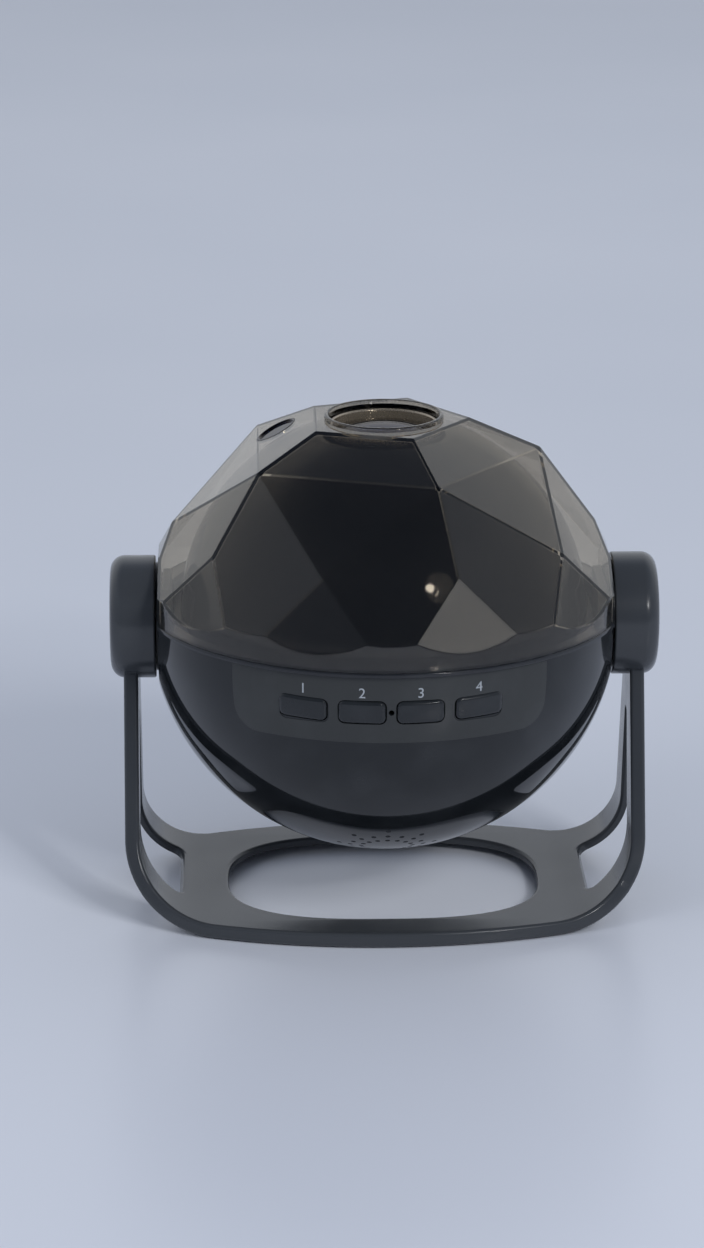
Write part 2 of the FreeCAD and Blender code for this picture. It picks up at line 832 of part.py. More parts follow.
def vents():
    """Small upright holes in rays, which make the round grille under the front."""
    holes = []
    for index in range(grille_rays):
        for radius in (short_ray if index % 2 else long_ray):
            spot = corner(radius, 0.0, 360 / grille_rays * index)
            y = spot.y - grille_offset
            reach = math.hypot(spot.x, y) + vent_radius
            high = overcut - math.sqrt(cavity_radius ** 2 - reach ** 2)
            low = -math.sqrt(ball_radius ** 2 - (reach - 2 * vent_radius) ** 2) - overcut
            holes.append(upright(vent_radius, low, high, spot.x, y))
    return holes


def frame_post_places():
    return [(x, y) for x in (-post_offset, post_offset) for y in (-post_offset, post_offset)]


def board_post_places():
    offset = board_post_offset
    return [(x, y) for x in (-offset, offset) for y in (-offset, offset)]


def socket_box(margin, start, end):
    """Room of the power socket at the back, wider by a margin."""
    low_z = -main_board_drop + board_thickness
    low = head(-socket_width / 2 - margin, start, low_z - margin)
    high = head(socket_width / 2 + margin, end, low_z + socket_height + margin)
    return block(low, high)


def board_ribs():
    """Two ribs inside the shell that hold the ends of the button board."""
    ribs = []
    depth = button_board_depth - board_thickness
    for side in (-1, 1):
        edge = side * (button_board_half_width + seat_gap * 2)
        far = edge + side * board_rib
        low = Vector(min(edge, far), -button_board_fall, 0)
        bar = Part.makeBox(board_rib, button_board_fall, cavity_radius, low)
        ribs.append(turned_about_x(bar, depth))
    return ribs


def turned_about_x(shape, distance):
    """Shape with Z set along the buttons' axis and Y set upwards."""
    result = shape.copy()
    rotation = Rotation(axis_x, button_up, button_way, "ZXY")
    result.Placement = Placement(button_origin(0, distance), rotation).multiply(shape.Placement)
    return result


def make_lower_shell():
    outside = ball(ball_radius).common(layer(-ball_radius, seam_height)).common(slab(flat_x))
    inside = ball(cavity_radius).common(slab(inner_flat_x))
    shell = outside.cut(inside)
    shell = shell.cut(vents())
    openings = [button_bar(x, button_gap, button_board_depth, wide / 2) for x in button_columns]
    receiver = rod(receiver_hole_radius, button_origin(0, button_board_depth), button_origin(0, wide / 2))
    socket = socket_box(socket_gap, cavity_radius * 0.5, wide / 2)
    shell = shell.cut(openings + [receiver, socket, pivot_holes()])
    room = ball(cavity_radius + shell_wall / 2).common(layer(-ball_radius, seam_height))
    additions = []
    for x, y in frame_post_places():
        additions.append(upright(post_radius, -ball_radius, -frame_thickness, x, y).common(room))
    for x, y in board_post_places():
        additions.append(upright(board_post_radius, -ball_radius, -main_board_drop, x, y).common(room))
    ring_inner = speaker_radius - speaker_overlap
    speaker_ring = behind_grille(upright_ring(speaker_foot, ring_inner, -ball_radius, -speaker_drop))
    additions.append(speaker_ring.common(room))
    additions += [rib.common(room) for rib in board_ribs()]
    shell = joined([shell] + additions)
    pilots = []
    pilot_radius = small_screw_radius + shaft_gap
    for x, y in frame_post_places():
        pilots.append(upright(pilot_radius, -frame_thickness - small_screw_length, 0, x, y))
    for x, y in board_post_places():
        pilots.append(upright(pilot_radius, -main_board_drop - small_screw_length, 0, x, y))
    return shell.cut(pilots)


# ------------------------------------------------------------ buttons
def make_button(x):
    """Cap that follows the ball, with a flange inside and a stem behind."""
    cap = button_bar(x, 0.0, 0.0, ball_radius + button_proud + overcut)
    cap = cap.common(ball(ball_radius + button_proud)).cut(ball(flange_outer))
    rim = [e for e in cap.Edges if centre.distanceToPoint(e.CenterOfMass) > ball_radius]
    top = cap.makeFillet(button_round, rim)
    flange = button_bar(x, button_flange, 0.0, ball_radius)
    flange = flange.common(ball(flange_outer)).cut(ball(flange_inner))
    stem_end = math.sqrt((flange_outer - button_flange_thickness / 2) ** 2 - x ** 2)
    switch_top = button_board_depth + switch_height + switch_plunger_height
    stem_start = switch_top + button_travel + button_play
    stem = rod(stem_radius, button_origin(x, stem_start), button_origin(x, stem_end))
    return joined([top, flange, stem])


def make_button_board():
    height = button_board_rise + button_board_fall
    low = Vector(-button_board_half_width, -button_board_fall, 0)
    plate = Part.makeBox(2 * button_board_half_width, height, board_thickness, low)
    return turned_about_x(plate, button_board_depth - board_thickness)


def make_switches():
    switches = []
    for x in button_columns:
        low = Vector(-switch_size / 2, -switch_size / 2, 0)
        body = Part.makeBox(switch_size, switch_size, switch_height, low)
        top = switch_height + switch_plunger_height
        plunger = rod(switch_plunger_radius, Vector(0, 0, 0), Vector(0, 0, top))
        switches.append(turned(joined([body, plunger]), button_way, button_origin(x, button_board_depth)))
    return Part.makeCompound(switches)


def make_receiver():
    half = receiver_size / 2
    body = Part.makeBox(receiver_size, receiver_size, receiver_height, Vector(-half, -half, 0))
    eye_height = receiver_height + receiver_hole_radius
    eye = rod(receiver_hole_radius * receiver_eye_share, Vector(0, 0, 0), Vector(0, 0, eye_height))
    return turned(joined([body, eye]), button_way, button_origin(0, button_board_depth))


# ------------------------------------------------------------ middle frame
def motor_centre():
    distance = gear_module * (wheel_teeth + pinion_teeth) / 2
    angle = math.radians(motor_angle)
    return distance * math.cos(angle), distance * math.sin(angle)


def make_mid_frame():
    plate = upright(frame_radius, -frame_thickness, 0)
    plate = plate.common(slab(inner_flat_x - flange_thickness - free_gap))
    holes = [upright(sink_opening, -frame_thickness, 0)]
    for x, y in frame_post_places():
        holes.append(upright(small_screw_radius + shaft_gap, -frame_thickness, 0, x, y))
    return plate.cut(holes)


def small_screws(places, seat_height, plate):
    """Group of small screws through a plate of a given thickness."""
    screws = []
    for x, y in places:
        screw_head = upright(small_screw_head, seat_height, seat_height + small_screw_height, x, y)
        low = seat_height - plate - small_screw_length + free_gap
        shank = upright(small_screw_radius, low, seat_height, x, y)
        top = seat_height + small_screw_height
        slot_low = head(x - small_screw_head, y - screw_slot_half, top - screw_slot_depth)
        slot_high = head(x + small_screw_head, y + screw_slot_half, top + screw_slot_depth)
        screws.append(joined([screw_head, shank]).cut(block(slot_low, slot_high)))
    return Part.makeCompound(screws)


def crown_underside():
    face_distance = facet_radius * math.cos(math.radians(waist_angle) / 2)
    return crown_height * (face_distance - dome_wall) / face_distance


def make_inner_dome():
    roof_top = crown_underside() - roof_drop
    outer = ball(inner_dome_radius).common(layer(0.0, roof_top))
    inner = ball(inner_dome_radius - inner_dome_wall).common(layer(-overcut, roof_top - inner_dome_wall))
    lens_hole = upright(bezel_outer + lens_hole_gap, 0.0, ball_radius)
    star_hole = rod(grating_radius + free_gap, star_point(star_wheel_depth), star_point(-inner_dome_gap))
    return outer.cut([inner, lens_hole, star_hole])


def make_heat_sink():
    base = upright(sink_radius, 0.0, sink_base)
    room = upright(sink_opening - sink_gap, -fin_depth, sink_base)
    fins = []
    for index in range(fin_count):
        middle = (index - (fin_count - 1) / 2) * fin_pitch
        low = head(middle - fin_thickness / 2, -sink_radius, -fin_depth)
        high = head(middle + fin_thickness / 2, sink_radius, sink_base)
        fins.append(block(low, high).common(room))
    return joined([base] + fins)


def make_led_board():
    return upright(led_board_radius, sink_base, sink_base + board_thickness)


def make_leds():
    top = sink_base + board_thickness
    half = led_size / 2
    leds = []
    for x in (-led_pitch / 2, led_pitch / 2):
        for y in (-led_pitch / 2, led_pitch / 2):
            leds.append(block(head(x - half, y - half, top), head(x + half, y + half, top + led_height)))
    return Part.makeCompound(leds)


barrel_bore = sink_radius + seat_gap
barrel_outer = barrel_bore + barrel_wall
neck_outer = barrel_bore - seat_gap
neck_top = barrel_height + neck_height
wheel_low = barrel_height + gear_lift
wheel_high = wheel_low + gear_face
ledge_low = neck_top + gear_lift
ledge_high = ledge_low + ledge_thickness
disc_radius = neck_outer
disc_top = ledge_high + disc_thickness


def make_optics_barrel():
    tube = upright_ring(barrel_outer, barrel_bore, 0.0, barrel_height)
    shelf_inner = barrel_bore - shelf_width
    shelf = upright_ring(barrel_bore + overlap, shelf_inner, shelf_height, shelf_height + shelf_thickness)
    neck = upright_ring(neck_outer, neck_outer - neck_wall, barrel_height - overlap, neck_top)
    shoulder_low = barrel_height - shelf_thickness
    shoulder = upright_ring(barrel_outer, neck_outer - neck_wall, shoulder_low, barrel_height)
    return joined([tube, shelf, neck, shoulder])


def make_condenser():
    low = shelf_height + shelf_thickness
    radius = barrel_bore - lens_gap
    edge = upright(radius, low, low + condenser_edge)
    return joined([edge, lens_cap(radius, low + condenser_edge, condenser_rise)])


def make_wheel():
    """Toothed ring that runs on the barrel's neck and carries the glass disc."""
    teeth = gear(gear_module, wheel_teeth, gear_face, True)
    angle = Rotation(axis_z, motor_angle)
    teeth.Placement = Placement(head(0, 0, wheel_low), angle)
    bore = upright(neck_outer + running_gap, wheel_low, ledge_low)
    wall_outer = disc_radius + seat_gap + carrier_wall
    wall = upright(wall_outer, wheel_low, disc_top)
    seat = upright(disc_radius + seat_gap, ledge_high, disc_top)
    light_way = upright(disc_radius - disc_ledge, wheel_low, disc_top)
    return joined([teeth, wall]).cut([bore, seat, light_way])


def make_disc():
    return upright(disc_radius, ledge_high, disc_top)


def make_retainer():
    outer = disc_radius + seat_gap + carrier_wall
    return upright_ring(outer, disc_radius - disc_ledge, disc_top, disc_top + retainer_thickness)


holder_low = disc_top + retainer_thickness + plate_gap
plate_low = holder_low + holder_floor
holder_top = plate_low + plate_thickness
plate_radius = disc_radius - holder_rim / 2


def holder_leg_places():
    places = []
    for degrees in holder_leg_angles:
        angle = math.radians(degrees)
        places.append((holder_leg_offset * math.cos(angle), holder_leg_offset * math.sin(angle)))
    return places


def make_plate_holder():
    """Ring over the wheel for the fixed ripple plate, on three legs."""
    outer = plate_radius + holder_rim
    body = [upright(outer, holder_low, holder_top)]
    for x, y in holder_leg_places():
        body.append(upright(holder_leg_radius, 0.0, holder_top, x, y))
        arm = Part.makeBox(holder_leg_offset, 2 * holder_leg_radius, holder_top - holder_low)
        turn = Rotation(axis_z, math.degrees(math.atan2(y, x)))
        side = turn.multVec(Vector(0, -holder_leg_radius, 0))
        arm.Placement = Placement(head(0, 0, holder_low) + side, turn)
        body.append(arm)
    light_way = upright(plate_radius - holder_rim / 2, holder_low, holder_top)
    seat = upright(plate_radius + seat_gap, plate_low, holder_top)
    return joined(body).cut([light_way, seat])


def make_ripple_plate():
    return upright(plate_radius, plate_low, holder_top)


def make_motor():
    x, y = motor_centre()
    can = upright(motor_radius, 0.0, motor_height, x, y)
    nose_top = wheel_low - gear_lift
    nose = upright(motor_nose_radius, motor_height, nose_top, x, y)
    bore = upright(motor_shaft_radius + shaft_gap, motor_height / 2, nose_top, x, y)
    return joined([can, nose]).cut(bore)


def make_motor_shaft():
    x, y = motor_centre()
    return upright(motor_shaft_radius, motor_height / 2 + seat_gap, wheel_high + shaft_end, x, y)


def make_pinion():
    x, y = motor_centre()
    teeth = gear(gear_module, pinion_teeth, gear_face, False)
    teeth.Placement = Placement(head(x, y, wheel_low), Rotation(axis_z, motor_angle + 180))
    return teeth.cut(upright(motor_shaft_radius, wheel_low, wheel_high, x, y))


# ------------------------------------------------------------ lens at the crown
def make_bezel():
    """Ring around the lens, with a flange that lies against the crown's underside."""
    low = bezel_top - bezel_depth
    barrel = upright(bezel_outer, low, bezel_top)
    flange_top = crown_underside() - seat_gap
    flange = upright(bezel_outer + bezel_flange, flange_top - bezel_flange_thickness, flange_top)
    body = joined([barrel, flange])
    body = body.makeFillet(bezel_round, flat_rim(body, bezel_top))
    bore_above = upright(bezel_bore, lens_low, bezel_top)
    bore_below = upright(bezel_bore - bezel_shelf, low, lens_low)
    return body.cut([bore_above, bore_below])


def make_lens():
    radius = bezel_bore - lens_gap
    edge = upright(radius, lens_low, lens_low + lens_edge)
    return joined([edge, lens_cap(radius, lens_low + lens_edge, lens_rise)])


# ------------------------------------------------------------ star laser
wheel_back = star_wheel_depth + star_wheel_face
bracket_front = wheel_back + bracket_gap
bracket_back = bracket_front + bracket_thickness
star_distance = star_module * (star_wheel_teeth + star_pinion_teeth) / 2


def along_star(shape, depth, across=0.0):
    """Shape modelled along Z, set on the laser's axis and facing inwards."""
    return turned(shape, star_way * -1, star_point(depth, 0.0, across))


def make_star_window():
    radius = window_radius - star_fit
    return rod(radius, star_point(window_sink + window_thickness), star_point(window_sink))


def make_star_wheel():
    teeth = gear(star_module, star_wheel_teeth, star_wheel_face, True)
    teeth = teeth.rotated(Vector(0, 0, 0), axis_z, -90)
    wheel = along_star(teeth, star_wheel_depth)
    bore = rod(sleeve_radius + running_gap, star_point(star_wheel_depth), star_point(wheel_back))
    return wheel.cut(bore)


def make_grating():
    front = star_point(star_wheel_depth - grating_thickness)
    return rod(grating_radius, star_point(star_wheel_depth), front)


def make_star_pinion():
    teeth = gear(star_module, star_pinion_teeth, star_wheel_face, False)
    teeth = teeth.rotated(Vector(0, 0, 0), axis_z, 90)
    pinion = along_star(teeth, star_wheel_depth, -star_distance)
    start = star_point(star_wheel_depth, 0.0, -star_distance)
    end = star_point(bracket_back + star_motor_length / 2, 0.0, -star_distance)
    return joined([pinion, rod(star_shaft_radius, start, end)])


def make_star_bracket():
    """Plate with a sleeve for the wheel, on two posts up to the inner dome."""
    wide_half = laser_radius + bracket_margin
    low_end = -star_distance - star_motor_radius - bracket_margin
    wheel_room = star_module * (star_wheel_teeth / 2 + 1) + bracket_post_radius + bracket_gap
    post_along = wide_half - bracket_post_radius
    high_end = math.sqrt(wheel_room ** 2 - post_along ** 2) + bracket_post_radius
    length = high_end - low_end
    plate = rounded_bar(2 * wide_half, length, bracket_corner, bracket_thickness)
    middle = (high_end + low_end) / 2
    body = [along_star(plate, bracket_front, middle)]
    sleeve_start = star_point(star_wheel_depth + gear_lift)
    body.append(rod(sleeve_radius, sleeve_start, star_point(bracket_front + bracket_thickness / 2)))
    room = ball(inner_dome_radius - inner_dome_wall - seat_gap)
    post_across = high_end - bracket_post_radius
    for across in (low_end + bracket_post_radius, post_across):
        for along in (post_along, -post_along):
            start = star_point(bracket_back - overlap, along, across)
            end = star_point(-inner_dome_gap, along, across)
            body.append(rod(bracket_post_radius, start, end).common(room))
    holes = [rod(sleeve_bore, star_point(0), star_point(bracket_back + overcut))]
    start = star_point(bracket_front - overcut, 0.0, -star_distance)
    end = star_point(bracket_back + overcut, 0.0, -star_distance)
    holes.append(rod(star_shaft_radius + washer_gap, start, end))
    return joined(body).cut(holes)


def make_laser():
    return rod(laser_radius, star_point(bracket_back), star_point(bracket_back + laser_length))


def make_star_motor():
    start = star_point(bracket_back, 0.0, -star_distance)
    end = star_point(bracket_back + star_motor_length, 0.0, -star_distance)
    bore_end = star_point(bracket_back + star_motor_length / 2 + gear_lift, 0.0, -star_distance)
    return rod(star_motor_radius, start, end).cut(rod(star_shaft_radius + shaft_gap, start, bore_end))


# ------------------------------------------------------------ electronics
def make_main_board():
    low = -main_board_drop
    disc = upright(main_board_radius, low, low + board_thickness)
    back = cavity_radius - socket_depth
    tongue = block(head(-tongue_half_width, 0, low), head(tongue_half_width, back, low + board_thickness))
    holes = [upright(small_screw_radius + shaft_gap, low, 0, x, y) for x, y in board_post_places()]
    return joined([disc, tongue]).cut(holes)


def make_chips():
    top = -main_board_drop + board_thickness
    solids = []
    for x, y, width, depth, height in chip_sizes:
        low = head(x - width / 2, y - depth / 2, top)
        solids.append(block(low, low + Vector(width, depth, height)))
    for x, y, radius, height in capacitor_sizes:
        solids.append(upright(radius, top, top + height, x, y))
    return Part.makeCompound(solids)


def make_socket():
    end = cavity_radius - socket_inset
    start = end - socket_depth
    outer = socket_box(0.0, start, end)
    inner = socket_box(-socket_shell, start + socket_back, end)
    middle = -main_board_drop + board_thickness + socket_height / 2
    tongue = block(
        head(-socket_width / 4, start + socket_shell, middle - socket_tongue / 2),
        head(socket_width / 4, end - socket_tongue_back, middle + socket_tongue / 2),
    )
    return joined([outer.cut(inner), tongue])


def speaker_profile(outer_radius, low_radius, thickness):
    """Dished ring of the basket, turned about the speaker's axis."""
    low = -speaker_drop + speaker_flange
    high = low + basket_height
    points = [
        head(outer_radius, 0, low),
        head(low_radius, 0, high),
        head(low_radius - thickness, 0, high),
        head(outer_radius - thickness, 0, low),
    ]
    wire = Part.makePolygon(points + points[:1])
    return Part.Face(wire).revolve(centre, axis_z, 360)


def behind_grille(shape):
    """Shape modelled about the ball's axis, moved over the grille."""
    return shape.translated(Vector(0, -grille_offset, 0))


def make_basket():
    low = -speaker_drop
    flange = upright_ring(speaker_radius, speaker_radius - speaker_edge, low, low + speaker_flange)
    dish = speaker_profile(speaker_radius - speaker_overlap, magnet_radius, basket_wall)
    top = low + speaker_flange + basket_height
    plate = upright(magnet_radius, top - basket_wall, top)
    return behind_grille(joined([flange, dish, plate]))


def make_magnet():
    low = -speaker_drop + speaker_flange + basket_height
    return behind_grille(upright(magnet_radius - magnet_inset, low, low + magnet_height))


def make_cone():
    low = -speaker_drop + cone_sink
    outer = speaker_radius - speaker_edge - seat_gap
    inner = magnet_radius / 2
    points = [
        head(outer, 0, low),
        head(outer, 0, low + cone_thickness),
        head(inner, 0, low + cone_depth + cone_thickness),
        head(0, 0, low + cone_depth / 2 + cone_thickness),
        head(0, 0, low + cone_depth / 2),
        head(inner, 0, low + cone_depth),
    ]
    wire = Part.makePolygon(points + points[:1])
    return behind_grille(Part.Face(wire).revolve(centre, axis_z, 360))


# ------------------------------------------------------------ write the nodes
def pair(shape):
    """The piece and its twin on the left side, as one group."""
    return Part.makeCompound([shape, mirrored(shape)])


os.makedirs("parts", exist_ok=True)
save("yoke_stand", make_yoke())
save("stand_feet", make_feet())
hub_cap = make_hub_cap()
save("hub_cap_right", hub_cap)
save("hub_cap_left", mirrored(hub_cap))
save("wave_washers", pair(make_wave_washer()))

stub = make_pivot_stub()
save("pivot_stub_right", stub)
save("pivot_stub_left", mirrored(stub))
collar = make_collar()
save("friction_collar_right", collar)
save("friction_collar_left", mirrored(collar))
save("pivot_washers", pair(make_pivot_washer()))
save("pivot_screws", pair(make_pivot_screw()))

save("lower_shell", make_lower_shell())
save("trim_ring", make_trim_ring())
save("faceted_dome", make_dome())
save("inner_dome", make_inner_dome())
save("mid_frame", make_mid_frame())
save("frame_screws", small_screws(frame_post_places(), 0.0, frame_thickness))

button_names = ["power_button", "nebula_button", "star_button", "lamp_button"]
for name, x in zip(button_names, button_columns):
    save(name, make_button(x))
save("button_board", make_button_board())
save("button_switches", make_switches())
save("remote_receiver", make_receiver())

save("heat_sink", make_heat_sink())
save("led_board", make_led_board())
save("led_emitters", make_leds())
save("optics_barrel", make_optics_barrel())
save("condenser_lens", make_condenser())
save("nebula_wheel", make_wheel())
save("nebula_disc", make_disc())
save("disc_retainer", make_retainer())
save("plate_holder", make_plate_holder())
save("ripple_plate", make_ripple_plate())
save("nebula_motor", make_motor())
save("motor_shaft", make_motor_shaft())
save("motor_pinion", make_pinion())
save("lens_bezel", make_bezel())
save("projection_lens", make_lens())

save("star_window", make_star_window())
save("star_wheel", make_star_wheel())
save("star_grating", make_grating())
save("star_pinion", make_star_pinion())
save("star_bracket", make_star_bracket())
save("laser_module", make_laser())
save("star_motor", make_star_motor())

save("main_board", make_main_board())
save("board_chips", make_chips())
board_top = -main_board_drop + board_thickness
save("board_screws", small_screws(board_post_places(), board_top, board_thickness))
save("power_socket", make_socket())
save("speaker_basket", make_basket())
save("speaker_magnet", make_magnet())
save("speaker_cone", make_cone())
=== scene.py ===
"""Looks of a star and nebula projector: a smoked, faceted dome on a glossy ball in a bent yoke."""
import json
import logging
import math
from abc import ABC, abstractmethod
from dataclasses import dataclass, field
from enum import Enum
from typing import Any, Callable, Iterable, Sequence

import bmesh
import bpy
from mathutils import Matrix, Vector


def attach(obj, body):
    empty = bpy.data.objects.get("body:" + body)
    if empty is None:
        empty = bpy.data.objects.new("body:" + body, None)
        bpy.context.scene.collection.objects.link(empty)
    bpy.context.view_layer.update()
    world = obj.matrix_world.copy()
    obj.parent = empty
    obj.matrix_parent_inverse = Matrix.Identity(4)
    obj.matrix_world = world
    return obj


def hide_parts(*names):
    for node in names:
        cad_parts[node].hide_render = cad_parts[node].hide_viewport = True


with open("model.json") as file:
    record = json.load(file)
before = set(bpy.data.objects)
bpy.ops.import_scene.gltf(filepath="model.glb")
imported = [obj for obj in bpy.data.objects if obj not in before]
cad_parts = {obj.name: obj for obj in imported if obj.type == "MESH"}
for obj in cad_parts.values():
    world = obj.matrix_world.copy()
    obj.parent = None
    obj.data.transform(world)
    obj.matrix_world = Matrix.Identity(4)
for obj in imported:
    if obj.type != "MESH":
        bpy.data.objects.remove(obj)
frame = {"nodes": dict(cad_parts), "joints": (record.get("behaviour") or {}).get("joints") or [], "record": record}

LOG = logging.getLogger("projector")
MM = 0.001
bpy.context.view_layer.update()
CENTRE = Vector(next(joint["pos_m"] for joint in frame["joints"] if joint["name"] == "head_tilt"))
AT_CENTRE = Matrix.Translation(CENTRE)
ON_HUB_AXIS = AT_CENTRE @ Matrix.Rotation(math.pi / 2, 4, "Y")

Point2 = tuple[float, float]
Socket = bpy.types.NodeSocket
Tree = bpy.types.NodeTree
Node = bpy.types.Node
Mesh = bmesh.types.BMesh


class Body(Enum):
    """The rigid bodies of the frame that pieces ride on."""

    STAND = "stand"
    HEAD = "head"
    POWER = "power_button"
    NEBULA = "nebula_button"
    STAR = "star_button"
    LAMP = "lamp_button"


# ---------------------------------------------------------------- materials
VALUE_A, VALUE_B = 2, 3                        # inputs of a Mix node for numbers
COLOUR_A, COLOUR_B, COLOUR_OUT = 6, 7, 2       # and for colours, with their output
USUAL = (0.3, 0.7)                             # where nearly all values of a noise pattern lie


class Kind(Enum):
    """Nodes of the finishes and the world: type, output that is used, inputs in order, settings."""

    OBJECT_PLACE = ("ShaderNodeTexCoord", "Object", (), {})
    WORLD_WAY = ("ShaderNodeTexCoord", "Generated", (), {})
    BACKWARD = ("ShaderNodeSeparateXYZ", "Y", (0,), {})
    UPWARD = ("ShaderNodeSeparateXYZ", "Z", (0,), {})
    CAMERA_RAY = ("ShaderNodeLightPath", "Is Camera Ray", (), {})
    GLOSSY_RAY = ("ShaderNodeLightPath", "Is Glossy Ray", (), {})
    GLASS_RAY = ("ShaderNodeLightPath", "Is Transmission Ray", (), {})
    EDGES = ("ShaderNodeNewGeometry", "Pointiness", (), {})
    NOISE = ("ShaderNodeTexNoise", "Fac", ("Vector", "Scale", "Detail"), {})
    WAVES = ("ShaderNodeTexWave", "Fac", ("Vector", "Scale", "Distortion", "Detail"), {})
    BRICKS = ("ShaderNodeTexBrick", "Fac",
              ("Vector", "Scale", "Mortar Size", "Brick Width", "Row Height"), {})
    SPREAD = ("ShaderNodeMapRange", "Result", ("Value", "To Min", "To Max", "From Min", "From Max"), {})
    SHARE = ("ShaderNodeMix", 0, ("Factor", VALUE_A, VALUE_B), {})
    TONE = ("ShaderNodeMix", COLOUR_OUT, ("Factor", COLOUR_A, COLOUR_B), {"data_type": "RGBA"})
    SUM = ("ShaderNodeMath", 0, (0, 1), {"operation": "ADD"})
    PRODUCT = ("ShaderNodeMath", 0, (0, 1), {"operation": "MULTIPLY"})
    LARGER = ("ShaderNodeMath", 0, (0, 1), {"operation": "MAXIMUM"})
    BUMP = ("ShaderNodeBump", "Normal", ("Height", "Distance", "Strength"), {})
    DYE = ("ShaderNodeVolumeAbsorption", "Volume", ("Color", "Density"), {})


def linear(code: str) -> tuple[float, float, float, float]:
    """Turn an sRGB hex colour into linear light.

    Args:
        code: the colour, as "#rrggbb".

    Returns:
        Red, green, blue and alpha.
    """
    shares = [int(code[start:start + 2], 16) / 255 for start in (1, 3, 5)]
    light = [s / 12.92 if s <= 0.04045 else ((s + 0.055) / 1.055) ** 2.4 for s in shares]
    return (light[0], light[1], light[2], 1.0)


class Surface:
    """The nodes of a material or the world, with the main shader and the coordinates of patterns."""

    def __init__(self, tree: Tree, shader: str, place: Kind) -> None:
        """Take hold of the nodes.

        Args:
            tree: the node tree.
            shader: name of its main shader.
            place: the coordinates.
        """
        self.tree = tree
        self.shader = tree.nodes[shader]
        self.place = self.add_node(place)

    def add_node(self, kind: Kind, *values: Any) -> Socket:
        """Add one node with its settings and links.

        Args:
            kind: what it is.
            values: value, or socket to link from, for each of its inputs in order.

        Returns:
            Its output.
        """
        type_name, output, inputs, settings = kind.value
        node = self.tree.nodes.new(type_name)
        for name, value in settings.items():
            setattr(node, name, value)
        self.feed(node, dict(zip(inputs, values)))
        return node.outputs[output]

    def feed(self, node: Node, inputs: dict[Any, Any]) -> None:
        """Set or link the inputs of a node.

        Args:
            node: the node.
            inputs: value, or socket to link from, for each input's name or number.
        """
        for key, value in inputs.items():
            if isinstance(value, Socket):
                self.tree.links.new(value, node.inputs[key])
            else:
                node.inputs[key].default_value = value

    def put(self, inputs: dict[str, Any]) -> None:
        """Set or link inputs of the main shader."""
        self.feed(self.shader, inputs)


@dataclass(frozen=True)
class Finish(ABC):
    """What all finishes share: a name, a colour and a roughness on one Principled shader."""

    name: str
    colour: str
    roughness: float

    @abstractmethod
    def shade(self, on: Surface) -> None:
        """Lay this finish's detail on a surface.

        Args:
            on: the surface.
        """

    def material(self) -> bpy.types.Material:
        """Give the finish's material, made on first use.

        Returns:
            The material.
        """
        made = bpy.data.materials.get(self.name)
        if made is None:
            made = bpy.data.materials.new(self.name)
            made.use_nodes = True
            made.diffuse_color = linear(self.colour)
            surface = Surface(made.node_tree, "Principled BSDF", Kind.OBJECT_PLACE)
            surface.put({"Base Color": linear(self.colour), "Roughness": self.roughness})
            self.shade(surface)
        return made


@dataclass(frozen=True)
class SparkErodedABS(Finish):
    """Moulded ABS with a spark-eroded texture: even fine grain, soft wide highlights."""

    # colour laid on sharp convex edges, found by pointiness
    edge_colour: str = "#6a6e73"
    marks: float = 16.0 * MM
    grain: float = 0.45 * MM      # about 0.1 mm on the real one, drawn coarser so that it shows
    depth: float = 0.012 * MM

    def shade(self, on: Surface) -> None:
        """Grain in the bump, faint handling marks in the roughness, a paler colour on sharp convex edges.

        Args:
            on: the surface.
        """
        # sharp convex edges are drawn paler than the faces
        paler_edges = on.add_node(Kind.SPREAD, on.add_node(Kind.EDGES), 0.0, 0.35, 0.52, 0.62)
        marks = on.add_node(Kind.NOISE, on.place, 1 / self.marks, 3.0)
        grain = on.add_node(Kind.NOISE, on.place, 1 / self.grain, 3.0)
        smooth, rough = self.roughness - 0.05, self.roughness + 0.06
        on.put({
            "Base Color": on.add_node(Kind.TONE, paler_edges, linear(self.colour), linear(self.edge_colour)),
            "Roughness": on.add_node(Kind.SPREAD, marks, smooth, rough, *USUAL),
            "Normal": on.add_node(Kind.BUMP, grain, self.depth, 1.0),
        })


@dataclass(frozen=True)
class PolishedPlastic(Finish):
    """ABS from a polished mould: mirror gloss with a slow ripple and faint handling haze."""

    dust: str = "#6f7377"
    haze: float = 0.04
    smear: float = 14.0 * MM
    ripple: float = 16.0 * MM
    depth: float = 0.003 * MM

    def shade(self, on: Surface) -> None:
        """Slow ripple in the bump, fingertip haze in the roughness and faintly in the tone.

        Args:
            on: the surface.
        """
        smears = on.add_node(Kind.NOISE, on.place, 1 / self.smear, 4.0)
        dusty = on.add_node(Kind.SPREAD, smears, 0.0, 0.06, 0.45, 0.75)
        ripple = on.add_node(Kind.NOISE, on.place, 1 / self.ripple, 1.0)
        rough = self.roughness + self.haze
        on.put({
            "Base Color": on.add_node(Kind.TONE, dusty, linear(self.colour), linear(self.dust)),
            "Roughness": on.add_node(Kind.SPREAD, smears, self.roughness, rough, 0.45, 0.75),
            "Normal": on.add_node(Kind.BUMP, ripple, self.depth, 1.0),
        })


